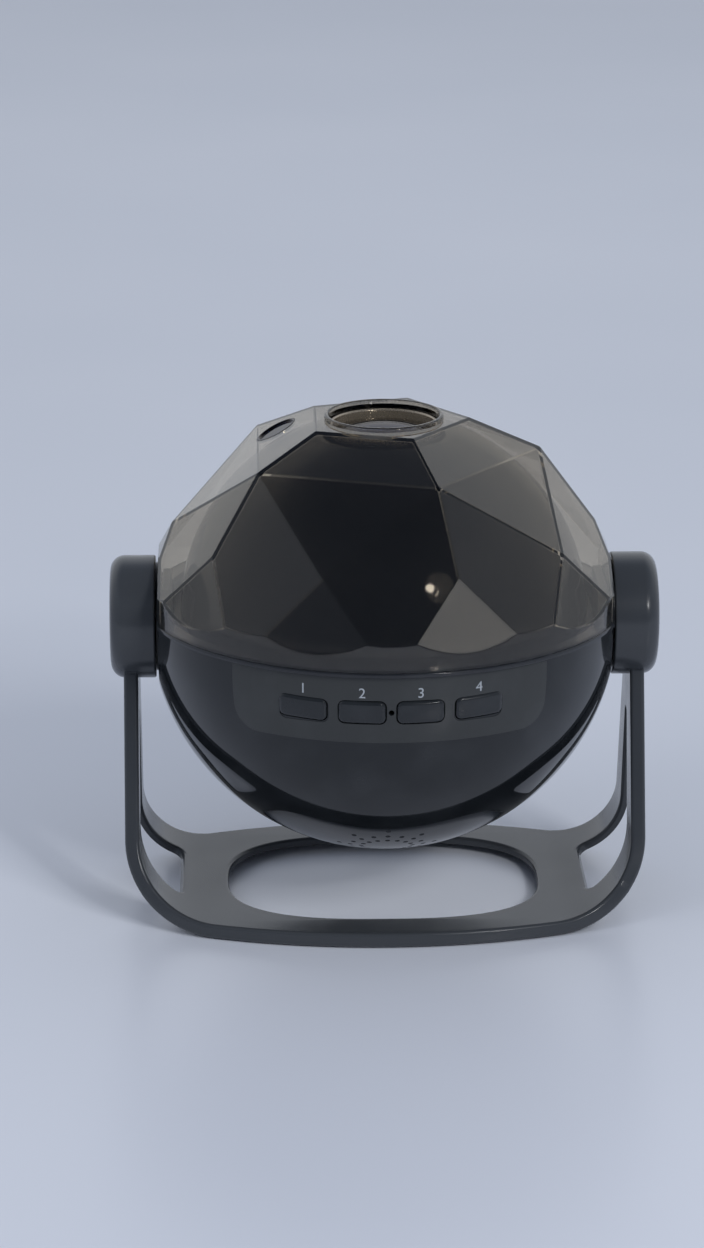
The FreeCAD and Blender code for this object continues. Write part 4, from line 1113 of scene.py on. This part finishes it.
@dataclass
class Ball:
    """Sizes that the pieces of the ball share."""

    radius: float = 65.0 * MM
    wall: float = 2.2 * MM
    flat_x: float = 62.2 * MM
    seam: float = 3.0 * MM
    trim_top: float = 4.4 * MM
    button_pitch: float = 15.5 * MM
    button_tilt: float = math.radians(6.1)
    button_size: tuple[float, float, float] = (12.4 * MM, 6.2 * MM, 1.6 * MM)

    def face_point(self, across: float, up: float, radius: float) -> Vector:
        """Point in front of the buttons on a sphere.

        Args:
            across: distance from the middle, along X.
            up: distance from the buttons' row, along their own upward direction.
            radius: radius of the sphere.

        Returns:
            The point in the frame.
        """
        way = Vector((0.0, -math.cos(self.button_tilt), -math.sin(self.button_tilt)))
        rise = Vector((0.0, -math.sin(self.button_tilt), math.cos(self.button_tilt)))
        depth = math.sqrt(max(radius ** 2 - across ** 2 - up ** 2, 0.0))
        return CENTRE + Vector((across, 0.0, 0.0)) + rise * up + way * depth

    def columns(self) -> list[float]:
        """Places of the four buttons along X."""
        return [(index - 1.5) * self.button_pitch for index in range(4)]

    def button_outline(self, margin: float) -> list[Point2]:
        """Rounded outline of a button, wider by a margin."""
        wide, high, corner = self.button_size
        return rounded_box(wide / 2 + margin, high / 2 + margin, corner + margin, 6)

    def flat_cutter(self) -> Mesh:
        """Boxes that cut the pivot flats.

        Returns:
            Both closed boxes as one mesh.
        """
        far = 2 * self.radius
        box = bmesh.new()
        place = Matrix.Translation(((self.flat_x + far) / 2, 0.0, CENTRE.z))
        size = Matrix.Diagonal((far - self.flat_x, 2 * far, 2 * far, 1.0))
        bmesh.ops.create_cube(box, size=1.0, matrix=place @ size)
        return merged(both_sides(box))


@dataclass
class LowerShell(SubAssembly):
    """Glossy lower half with its openings, vents and control panel."""

    ball: Ball = field(default_factory=Ball)
    rim_chamfer: float = 0.25 * MM
    button_gap: float = 0.3 * MM
    receiver_radius: float = 0.7 * MM
    vent_radius: float = 0.7 * MM
    grille_offset: float = 31.0 * MM
    grille_rays: int = 16
    long_ray: tuple[float, ...] = (7.0 * MM, 10.0 * MM, 13.0 * MM)
    short_ray: tuple[float, ...] = (7.0 * MM, 10.0 * MM)
    socket: tuple[float, float] = (9.64 * MM, 3.96 * MM)
    socket_drop: float = 16.77 * MM
    panel_half_angle: float = math.radians(40.0)
    panel_drop: float = 16.0 * MM
    panel_thickness: float = 0.12 * MM
    panel_corners: tuple[float, float] = (7.0 * MM, 0.4 * MM)
    panel_gap: float = 0.3 * MM
    panel_hole_gap: float = 0.1 * MM
    panel_edge: float = 0.05 * MM
    numeral_size: float = 3.9 * MM
    numeral_gap: float = 2.2 * MM
    numeral_lift: float = 0.02 * MM
    numeral_relief: float = 0.015 * MM

    def button_cutters(self) -> Mesh:
        """Straight cutters for the four button openings.

        Returns:
            The closed bars as one mesh.
        """
        turn = Matrix.Rotation(math.pi / 2 + self.ball.button_tilt, 4, "X")
        out = Matrix.Translation((0.0, 0.0, self.ball.radius - 4 * MM))
        cutters = []
        for column in self.ball.columns():
            bar = plate(self.ball.button_outline(self.button_gap), [], 20 * MM, 0.0)
            cutters.append(moved(bar, Matrix.Translation(CENTRE + Vector((column, 0.0, 0.0))) @ turn @ out))
        return merged(cutters)

    def vent_cutters(self) -> Mesh:
        """Upright pins in rays about the middle of the grille.

        Returns:
            The closed pins as one mesh.
        """
        pins = []
        for index in range(self.grille_rays):
            turn = 2 * math.pi * index / self.grille_rays
            for radius in (self.short_ray if index % 2 else self.long_ray):
                across, front = radius * math.sin(turn), radius * math.cos(turn) + self.grille_offset
                low = CENTRE + Vector((across, -front, -self.ball.radius))
                high = CENTRE + Vector((across, -front, -self.ball.radius / 2))
                pins.append(pin_mesh(self.vent_radius, low, high, 16))
        return merged(pins)

    def shell_mesh(self) -> Mesh:
        """Thin bowl with a short straight wall above the equator.

        Returns:
            The closed mesh.
        """
        radius, top = self.ball.radius, self.ball.seam
        inner = radius - self.ball.wall
        rim = [(radius, top - self.rim_chamfer), (radius - self.rim_chamfer, top), (inner, top)]
        profile = arc(radius, -90, 0, 96) + rim + arc(inner, 0, -90, 72)
        profile[0] = (0.0, -radius)
        profile[-1] = (0.0, -inner)
        receiver = pin_mesh(self.receiver_radius, self.ball.face_point(0, 0, inner - 4 * MM),
                            self.ball.face_point(0, 0, radius + MM))
        wide, high = self.socket
        hole = plate(rounded_box(wide / 2, high / 2, high / 2 - 0.01 * MM, 8), [], 30 * MM, 0.0)
        place = Matrix.Translation(CENTRE + Vector((0.0, radius, -self.socket_drop)))
        hole = moved(hole, place @ Matrix.Rotation(math.pi / 2, 4, "X"))
        tools = [self.ball.flat_cutter(), self.button_cutters(), self.vent_cutters(), receiver, hole]
        return carve(lathe(profile, 256), tools)

    def panel_mesh(self) -> Mesh:
        """Thin film round the buttons, wrapped on the ball.

        Returns:
            The closed mesh.
        """
        wide = self.ball.radius * self.panel_half_angle
        tilt = self.ball.radius * self.ball.button_tilt
        top = self.ball.seam - self.panel_gap + tilt
        low = -self.panel_drop + tilt
        under, over = self.panel_corners
        outline = rounded([(-wide, low, under), (wide, low, under), (wide, top, over), (-wide, top, over)], 8)
        holes = []
        for column in self.ball.columns():
            angle = math.asin(column / self.ball.radius)
            stretch = 1 / math.cos(angle)
            shape = self.ball.button_outline(self.button_gap)
            holes.append([(self.ball.radius * angle + x * stretch, y) for x, y in shape])
        holes.append(arc(self.receiver_radius + self.panel_hole_gap, 0, 345, 23))
        film = plate(outline, holes, self.panel_thickness, self.panel_edge)
        slice_across(film, 0, [wide * (2 * step / 36 - 1) for step in range(1, 36)])
        slice_across(film, 1, [low + (top - low) * step / 8 for step in range(1, 8)])

        def wrap(point: Vector) -> Vector:
            """Lay a point of the film on the ball.

            Args:
                point: the point of the flat film.

            Returns:
                Its place in the frame.
            """
            turn = point.x / self.ball.radius
            lift = point.y / self.ball.radius - self.ball.button_tilt
            reach = self.ball.radius + self.panel_thickness / 2 + point.z
            return CENTRE + reach * Vector((math.sin(turn) * math.cos(lift), -math.cos(turn) * math.cos(lift),
                                            math.sin(lift)))

        return warp(film, wrap)

    def numeral_mesh(self, text: str, column: float) -> Mesh:
        """One printed numeral above its button.

        Args:
            text: the numeral.
            column: its button's place along X.

        Returns:
            The closed mesh.
        """
        curve = bpy.data.curves.new("numeral", "FONT")
        curve.body = text
        curve.size = self.numeral_size
        curve.align_x = "CENTER"
        curve.align_y = "CENTER"
        curve.extrude = self.numeral_relief
        up = self.ball.button_size[1] / 2 + self.numeral_gap
        reach = self.ball.radius + self.panel_thickness + self.numeral_lift
        return warp(curve_mesh(curve), lambda p: self.ball.face_point(column + p.x, up + p.y, reach + p.z))

    def build(self) -> None:
        """Make the shell, the panel film and the numerals."""
        on = Body.HEAD
        shell = self.add("lower_bowl", self.shell_mesh(), on, ["lower_shell"], "shell_gloss", 30.0, False)
        true_round(shell, [self.ball.radius, self.ball.radius - self.ball.wall])
        film = self.add("panel_film", self.panel_mesh(), on, [], "shell_gloss", 30.0, False, PANEL_FILM)
        true_round(film, [self.ball.radius + self.panel_thickness])
        for text, column in zip("1234", self.ball.columns()):
            mesh = self.numeral_mesh(text, column)
            self.add(f"numeral_{text}", mesh, on, [], "gear_white", 30.0, False, PAD_INK)


@dataclass
class Buttons(SubAssembly):
    """Four rounded push buttons that follow the ball."""

    ball: Ball = field(default_factory=Ball)
    proud: float = 0.9 * MM
    margin: float = 0.1 * MM
    depth: float = 3.2 * MM
    rounding: float = 0.9 * MM
    pillow: float = 0.25 * MM

    def button_mesh(self, column: float) -> Mesh:
        """One cap with soft edges and a slightly domed face.

        Args:
            column: the button's place along X.

        Returns:
            The closed mesh.
        """
        wide, high, _ = self.ball.button_size
        cap = plate(self.ball.button_outline(self.margin), [], self.depth, self.rounding)
        slice_across(cap, 0, [wide * (step / 16 - 0.5) for step in range(1, 16)])
        slice_across(cap, 1, [high * (step / 8 - 0.5) for step in range(1, 8)])
        face = self.ball.radius + self.proud

        def shape(point: Vector) -> Vector:
            """Follow the ball, a little fuller in the middle of the outer face.

            Args:
                point: the point of the flat cap.

            Returns:
                Its place in the frame.
            """
            share = max(0.0, 1 - (2 * point.x / wide) ** 2) * max(0.0, 1 - (2 * point.y / high) ** 2)
            fall = self.pillow * (1 - share) if point.z > 0 else 0.0
            depth = self.depth / 2 - point.z + fall
            return self.ball.face_point(column + point.x, point.y, face) + self.inward(depth)

        return warp(cap, shape)

    def inward(self, depth: float) -> Vector:
        """Step into the ball along the buttons' own direction."""
        return depth * Vector((0.0, math.cos(self.ball.button_tilt), math.sin(self.ball.button_tilt)))

    def build(self) -> None:
        """Make the four caps, each on its own body."""
        for body, column in zip([Body.POWER, Body.NEBULA, Body.STAR, Body.LAMP], self.ball.columns()):
            self.add(f"{body.value}_cap", self.button_mesh(column), body, [body.value], "button_black", 40.0)


@dataclass
class FacetedDome(SubAssembly):
    """Smoked dome with flat facets over a smooth band, and the trim ring under it."""

    ball: Ball = field(default_factory=Ball)
    wall: float = 2.0 * MM
    band_radius: float = 66.3 * MM
    facet_radius: float = 64.3 * MM
    crown_radius: float = 23.4 * MM
    crown_height: float = 56.3 * MM
    shoulder: float = math.radians(48.2)
    waist: float = math.radians(25.05)
    sides: int = 5
    phase: float = 18.0
    short_edge: tuple[float, float] = (5.5, 12.0 * MM)
    crease: float = 0.22 * MM
    crown_hole: float = 15.2 * MM
    rim_wall: float = 1.1 * MM
    rim_height: float = 1.3 * MM
    rim_round: float = 0.4 * MM
    star_radius: float = 6.0 * MM
    star_offset: tuple[float, float] = (3.0 * MM, 9.5 * MM)
    star_depth: float = 2.2 * MM
    star_gap: float = 0.05 * MM
    star_proud: float = 0.1 * MM
    star_sunk: float = 0.45 * MM
    star_rim: tuple[float, float] = (0.7 * MM, 1.0 * MM)
    star_round: tuple[float, float] = (0.25 * MM, 0.2 * MM)
    trim_radius: float = 66.5 * MM
    trim_bore: float = 60.4 * MM
    trim_round: float = 0.5 * MM

    def corner(self, radius: float, height: float, degrees: float) -> Vector:
        """Point about the ball's axis, at an angle from the front to the right."""
        angle = math.radians(degrees)
        return CENTRE + Vector((radius * math.sin(angle), -radius * math.cos(angle), height))

    def crown_corner(self, index: int) -> Vector:
        """Corner of the flat crown."""
        return self.corner(self.crown_radius, self.crown_height, self.phase + 360 / self.sides * index)

    def ring_corner(self, elevation: float, degrees: float) -> Vector:
        """Corner on the sphere of the facets, at an elevation in radians."""
        out, up = self.facet_radius * math.cos(elevation), self.facet_radius * math.sin(elevation)
        return self.corner(out, up, degrees)

    def shoulder_corner(self, index: int) -> Vector:
        """Corner where three upper facets meet two large ones."""
        return self.ring_corner(self.shoulder, self.phase + 360 / self.sides * index)

    def waist_corner(self, index: int) -> Vector:
        """Corner on the ring of ten."""
        return self.ring_corner(self.waist, self.phase + 180 / self.sides * index)

    def low_corner(self, index: int, side: int) -> Vector:
        """Lower corner of a large facet, on its short edge.

        Args:
            index: the facet's number.
            side: 1 for its right corner, -1 for its left.

        Returns:
            The point in the frame.
        """
        turn = self.phase + 180 / self.sides * (index + 0.5)
        a = self.shoulder_corner((index + 1) // 2)
        normal = (self.waist_corner(index) - a).cross(self.waist_corner(index + 1) - a)
        angle, height = self.short_edge
        way = self.corner(1.0, 0.0, turn + side * angle) - CENTRE
        reach = (normal.dot(a - CENTRE) - normal.z * height) / normal.dot(way)
        return CENTRE + way * reach + Vector((0.0, 0.0, height))

    def planes(self, inset: float) -> list[tuple[Vector, Vector]]:
        """Every facet and both pivot flats.

        Args:
            inset: how far they are moved in.

        Returns:
            A point and the outward normal of each.
        """
        trios = []
        for i in range(self.sides):
            trios.append((self.crown_corner(i), self.crown_corner(i + 1), self.shoulder_corner(i)))
            trios.append((self.shoulder_corner(i), self.shoulder_corner(i + 1), self.waist_corner(2 * i + 1)))
        for i in range(2 * self.sides):
            trios.append((self.shoulder_corner((i + 1) // 2), self.waist_corner(i), self.waist_corner(i + 1)))
            trios.append((self.waist_corner(i), self.low_corner(i - 1, 1), self.low_corner(i, -1)))
        found = [(CENTRE + Vector((0.0, 0.0, self.crown_height)), Vector((0.0, 0.0, 1.0)))]
        for a, b, c in trios:
            normal = (b - a).cross(c - a).normalized()
            found.append((a, normal if normal.dot(a - CENTRE) > 0 else -normal))
        for side in (-1.0, 1.0):
            found.append((CENTRE + Vector((side * self.ball.flat_x, 0.0, 0.0)), Vector((side, 0.0, 0.0))))
        return [(point - normal * inset, normal) for point, normal in found]

    def cut_solid(self, inset: float, low: float, crease: float) -> Mesh:
        """Drum cut by all facet planes.

        Args:
            inset: distance of every face in from the outside.
            low: its lower end above the hub axis.
            crease: rounding of the creases.

        Returns:
            The closed mesh.
        """
        radius = self.band_radius - inset
        high = 2 * self.crown_height
        drum = lathe([(0.0, low), (radius, low), (radius, high), (0.0, high)], 288)
        for point, normal in self.planes(inset):
            geometry = drum.verts[:] + drum.edges[:] + drum.faces[:]
            cut = bmesh.ops.bisect_plane(drum, geom=geometry, plane_co=point, plane_no=normal,
                                         clear_outer=True, dist=0.0005 * MM)
            rim = [e for e in cut["geom_cut"] if isinstance(e, bmesh.types.BMEdge)]
            bmesh.ops.edgeloop_fill(drum, edges=rim)
        bmesh.ops.dissolve_limit(drum, angle_limit=math.radians(0.2), verts=drum.verts, edges=drum.edges)
        bmesh.ops.recalc_face_normals(drum, faces=drum.faces)
        sharp = [e for e in drum.edges if e.is_manifold and e.calc_face_angle() > math.radians(6)]
        bmesh.ops.bevel(drum, geom=sharp, offset=crease, segments=2, profile=0.5, affect="EDGES")
        return drum

    def star_axis(self) -> tuple[Vector, Vector]:
        """Find the star window's place, on the facet between two crown corners on the left.

        Returns:
            Its middle on the facet, and the facet's outward normal.
        """
        index = next(i for i in range(self.sides)
                     if self.crown_corner(i).x < 0 and self.crown_corner(i + 1).x < 0)
        crown = (self.crown_corner(index) + self.crown_corner(index + 1)) / 2
        shoulder = (self.shoulder_corner(index) + self.shoulder_corner(index + 1)) / 2
        down = (shoulder - crown).normalized()
        across = Vector((0.0, 1.0, 0.0))
        normal = down.cross(across)
        along, aside = self.star_offset
        return (crown + shoulder) / 2 + down * along + across * aside, normal if normal.z > 0 else -normal

    def star_pin(self, radius: float, inward: float, segments: int) -> Mesh:
        """Cutter along the star window's axis, from a depth under its facet to above it."""
        place, normal = self.star_axis()
        return pin_mesh(radius, place - normal * inward, place + normal * 5 * MM, segments)

    def rim_meshes(self) -> tuple[Mesh, Mesh]:
        """Disc that becomes the raised rim at the crown, and the cutter of the hole in it.

        Returns:
            Both closed meshes.
        """
        low = self.crown_height - self.wall / 2
        top = self.crown_height + self.rim_height
        outer = self.crown_hole + self.rim_wall
        disc = rounded([(0.0, low, 0.0), (outer, low, 0.0), (outer, top, self.rim_round), (0.0, top, 0.0)], 6)
        flare = self.crown_hole + self.rim_round
        near, far = self.crown_height - 10 * MM, self.crown_height + 10 * MM
        turn = [(flare - self.rim_round * math.cos(a), top - self.rim_round * (1 - math.sin(a)))
                for a in (math.pi / 2 * step / 6 for step in range(7))]
        hole = [(0.0, near), (self.crown_hole, near), *turn, (flare, far), (0.0, far)]
        return lathe(disc, 160), lathe(hole, 160)

    def dome_mesh(self) -> Mesh:
        """Hollow dome with the raised rim, the crown hole and the star window's hole.

        Returns:
            The closed mesh.
        """
        disc, hole = self.rim_meshes()
        outside = carve(self.cut_solid(0.0, self.ball.trim_top, self.crease), [disc], "UNION")
        inside = self.cut_solid(self.wall, self.ball.trim_top - 3 * MM, self.crease / 2)
        return carve(outside, [inside, hole, self.star_pin(self.star_radius, 6 * MM, 64)])

    def trim_mesh(self) -> Mesh:
        """Thin polished ring at the parting line.

        Returns:
            The closed mesh.
        """
        low, high = self.ball.seam, self.ball.trim_top
        profile = rounded([
            (self.trim_bore, low, 0.0), (self.trim_radius, low, self.trim_round),
            (self.trim_radius, high, self.trim_round), (self.trim_bore, high, 0.0),
        ], 5)
        return carve(lathe(profile, 288), [self.ball.flat_cutter()])

    def window_mesh(self) -> Mesh:
        """Dark lens of the star window with a thin rim.

        Returns:
            The closed mesh.
        """
        place, normal = self.star_axis()
        radius = self.star_radius - self.star_gap
        low, high, face = -self.star_depth, self.star_proud, -self.star_sunk
        top, foot = (radius - inset for inset in self.star_rim)
        outer, inner = self.star_round
        profile = rounded([
            (0.0, low, 0.0), (radius, low, 0.0), (radius, high, outer),
            (top, high, inner), (foot, face, inner), (0.0, face, 0.0),
        ], 4)
        turn = normal.to_track_quat("Z", "Y").to_matrix().to_4x4()
        return lathe(profile, 96, Matrix.Translation(place) @ turn)

    def build(self) -> None:
        """Make the dome, the trim ring and the star window."""
        self.add("smoked_dome", self.dome_mesh(), Body.HEAD, ["faceted_dome"], "dome_smoke", 40.0)
        self.add("parting_ring", self.trim_mesh(), Body.HEAD, ["trim_ring"], "trim_gloss", 40.0)
        self.add("star_lens", self.window_mesh(), Body.HEAD, ["star_window"], "lens_dark", 40.0)


@dataclass
class CrownOptics(SubAssembly):
    """Sunk ring and dark lens in the crown's hole, over the smooth inner dome."""

    top: float = 55.2 * MM
    bore: float = 14.0 * MM
    wall: float = 1.1 * MM
    depth: float = 10.9 * MM
    roundings: tuple[float, float, float] = (0.5 * MM, 0.2 * MM, 0.3 * MM)
    flange: tuple[float, float] = (1.7 * MM, 1.2 * MM)
    flange_top: float = 54.17 * MM
    shelf: float = 1.5 * MM
    lens_gap: float = 0.1 * MM
    lens_drop: float = 0.5 * MM
    lens_rise: float = 2.0 * MM
    lens_edge: float = 5.0 * MM
    lens_chamfer: float = 0.2 * MM
    inner_radius: float = 55.4 * MM
    inner_wall: float = 1.6 * MM
    inner_roof: float = 51.67 * MM
    inner_hole: float = 15.4 * MM
    star_hole: float = 5.0 * MM

    @property
    def lens_low(self) -> float:
        """Underside of the lens above the hub axis."""
        return self.top - self.lens_drop - self.lens_rise - self.lens_edge

    def bezel_mesh(self) -> Mesh:
        """Ring with a rounded top, a flange under the crown and a shelf for the lens.

        Returns:
            The closed mesh.
        """
        outer = self.bore + self.wall
        low = self.top - self.depth
        width, thickness = self.flange
        flange_low = self.flange_top - thickness
        shelf = self.bore - self.shelf
        lip, edge, end = self.roundings
        profile = rounded([
            (outer, low, end), (outer, flange_low, 0.0),
            (outer + width, flange_low, edge), (outer + width, self.flange_top, edge),
            (outer, self.flange_top, 0.0), (outer, self.top, lip),
            (self.bore, self.top, lip), (self.bore, self.lens_low, 0.0),
            (shelf, self.lens_low, edge), (shelf, low, edge),
        ], 6)
        return lathe(profile, 160)

    def inner_mesh(self) -> Mesh:
        """Smooth opaque dome with a flat roof, a hole for the lens barrel and one for the laser.

        Returns:
            The closed mesh.
        """
        bore = self.inner_radius - self.inner_wall
        under = self.inner_roof - self.inner_wall
        high = math.degrees(math.asin(self.inner_roof / self.inner_radius))
        inner_high = math.degrees(math.asin(under / bore))
        hole = [(self.inner_hole, self.inner_roof), (self.inner_hole, under)]
        shell = lathe(arc(self.inner_radius, 0, high, 80) + hole + arc(bore, inner_high, 0, 60), 256)
        return carve(shell, [FacetedDome().star_pin(self.star_hole, 12 * MM, 48)])

    def lens_mesh(self) -> Mesh:
        """Plano-convex lens with a ground edge.

        Returns:
            The closed mesh.
        """
        radius = self.bore - self.lens_gap
        low = self.lens_low
        base = low + self.lens_edge
        curve = (radius ** 2 + self.lens_rise ** 2) / (2 * self.lens_rise)
        cut = self.lens_chamfer
        profile = [(0.0, low), (radius - cut, low), (radius, low + cut), (radius, base)]
        for step in range(1, 13):
            x = radius * (1 - step / 12)
            profile.append((x, base + self.lens_rise - curve + math.sqrt(curve ** 2 - x ** 2)))
        return lathe(profile)

    def build(self) -> None:
        """Make the ring, the lens and the inner dome."""
        on = Body.HEAD
        self.add("crown_ring", self.bezel_mesh(), on, ["lens_bezel"], "bezel_gloss", 40.0)
        self.add("crown_lens", self.lens_mesh(), on, ["projection_lens"], "lens_dark", 40.0)
        mesh = self.inner_mesh()
        inner = self.add("smooth_inner_dome", mesh, on, ["inner_dome"], "inner_gloss", 35.0, False)
        true_round(inner, [self.inner_radius, self.inner_radius - self.inner_wall])


@dataclass
class Pivots(SubAssembly):
    """Thin black collars between the ball's flats and the hubs."""

    start: float = 62.2 * MM
    end: float = 62.8 * MM
    radius: float = 15.0 * MM
    bore: float = 7.1 * MM
    rounding: float = 0.15 * MM

    def build(self) -> None:
        """Make both collars, with rounded rims."""
        profile = rounded([
            (self.bore, self.start, 0.0), (self.radius, self.start, self.rounding),
            (self.radius, self.end, self.rounding), (self.bore, self.end, 0.0),
        ], 4)
        nodes = ["friction_collar_right", "friction_collar_left"]
        collar = lathe(profile, matrix=ON_HUB_AXIS)
        self.add_pair("pivot_collar_{}", collar, Body.HEAD, nodes, "collar_black", 40.0)


class CarriedNodes:
    """The frame's own nodes that stay, with their finishes."""

    def dress(self) -> None:
        """Give every node of the frame the finish of its slot."""
        slots = {entry["node"]: entry["material_slot"] for entry in frame["record"]["subparts"]}
        for name, piece in frame["nodes"].items():
            finish = NEBULA_GLASS if name == "nebula_disc" else SLOT_FINISH[slots[name]]
            materials = piece.data.materials
            materials.clear()
            materials.append(finish.material())
            LOG.info("CarriedNodes: %s, %s", name, finish.name)


# ---------------------------------------------------------------- studio
@dataclass
class Studio:
    """Pale floor, soft lamps, even world and the camera."""

    floor_half: float = 3.0
    eye: tuple[float, float, float] = (-36.45 * MM, -1059.11 * MM, 332.5 * MM)
    pitch: float = 17.56
    yaw: float = -1.5
    lens: float = 115.4
    sensor: float = 36.0
    clip: tuple[float, float] = (0.05, 20.0)
    sky: str = "#d3d8e0"
    dim_sky: str = "#93a5c9"
    light_level: float = 0.66
    front_gloss: float = 0.25
    overhead_gloss: float = 0.35
    front_band: tuple[float, float] = (-0.9, 0.6)
    overhead_band: tuple[float, float] = (0.6, 0.9)

    def floor(self) -> None:
        """Large plain floor."""
        mesh = bmesh.new()
        bmesh.ops.create_grid(mesh, x_segments=8, y_segments=8, size=self.floor_half)
        ground = raw_object("studio_floor", mesh)
        ground.data.materials.append(TABLE_TOP.material())

    def lamp(self, name: str, power: float, size: Point2, place: Sequence[float],
             mirrored: bool = True) -> None:
        """Add one soft lamp that points at the ball: a round one where gloss shows it, or else a panel.

        Args:
            name: the lamp's name.
            power: its power in watts.
            size: width and height in metres.
            place: where it hangs.
            mirrored: whether glossy surfaces and glass show it.
        """
        light = bpy.data.lights.new(name, "AREA")
        light.shape = "ELLIPSE" if mirrored else "RECTANGLE"
        light.size, light.size_y = size
        light.energy = power
        holder = bpy.data.objects.new(name, light)
        holder.location = place
        holder.rotation_euler = (CENTRE - Vector(place)).to_track_quat("-Z", "Y").to_euler()
        holder.visible_glossy = mirrored
        holder.visible_transmission = mirrored
        bpy.context.scene.collection.objects.link(holder)

    def lamps(self) -> None:
        """Light from the front right, fill and back light, then the round lamps that gloss shows."""
        self.lamp("key", 11.0, (0.5, 0.5), (0.95, -1.25, 1.15), False)
        self.lamp("fill", 5.0, (0.8, 0.6), (-1.3, -0.7, 0.9), False)
        self.lamp("back", 1.2, (1.0, 0.3), (0.2, 1.2, 0.9), False)
        self.lamp("glow", 0.8, (0.56, 0.56), (0.94, -1.39, CENTRE.z + 0.89))
        self.lamp("spark", 2.6, (0.13, 0.13), (0.65, -1.24, CENTRE.z + 0.77))

    def world(self) -> None:
        """Pale for the camera, darker in front and overhead for gloss and glass, even for light."""
        world = bpy.data.worlds.new("studio")
        world.use_nodes = True
        sky = Surface(world.node_tree, "Background", Kind.WORLD_WAY)
        backward, upward = (sky.add_node(kind, sky.place) for kind in (Kind.BACKWARD, Kind.UPWARD))
        front = sky.add_node(Kind.SPREAD, backward, self.front_gloss, 1.0, *self.front_band)
        overhead = sky.add_node(Kind.SPREAD, upward, 1.0, self.overhead_gloss, *self.overhead_band)
        gloss = sky.add_node(Kind.PRODUCT, front, overhead)
        mirrored = sky.add_node(Kind.LARGER, sky.add_node(Kind.GLOSSY_RAY), sky.add_node(Kind.GLASS_RAY))
        unseen = sky.add_node(Kind.SHARE, mirrored, self.light_level, gloss)
        level = sky.add_node(Kind.SHARE, sky.add_node(Kind.CAMERA_RAY), unseen, 1.0)
        tone = sky.add_node(Kind.TONE, level, linear(self.dim_sky), linear(self.sky))
        sky.put({"Color": tone, "Strength": level})
        bpy.context.scene.world = world

    def camera(self) -> None:
        """Camera a little above and in front of the ball."""
        data = bpy.data.cameras.new("camera")
        data.lens = self.lens
        data.sensor_width = self.sensor
        data.clip_start, data.clip_end = self.clip
        view = bpy.data.objects.new("camera", data)
        view.location = CENTRE + Vector(self.eye)
        view.rotation_euler = (math.radians(90 - self.pitch), 0.0, math.radians(self.yaw))
        bpy.context.scene.collection.objects.link(view)
        bpy.context.scene.camera = view

    def make(self) -> None:
        """Set up the whole studio."""
        self.floor()
        self.lamps()
        self.world()
        self.camera()
        bpy.context.scene.view_settings.view_transform = "Standard"


def main() -> None:
    """Build and dress everything."""
    logging.basicConfig(level=logging.INFO, format="%(name)s %(message)s")
    CarriedNodes().dress()
    for assembly in (YokeStand(), LowerShell(), Buttons(), FacetedDome(), CrownOptics(), Pivots()):
        assembly.make()
    Studio().make()


if __name__ == "__main__":
    main()
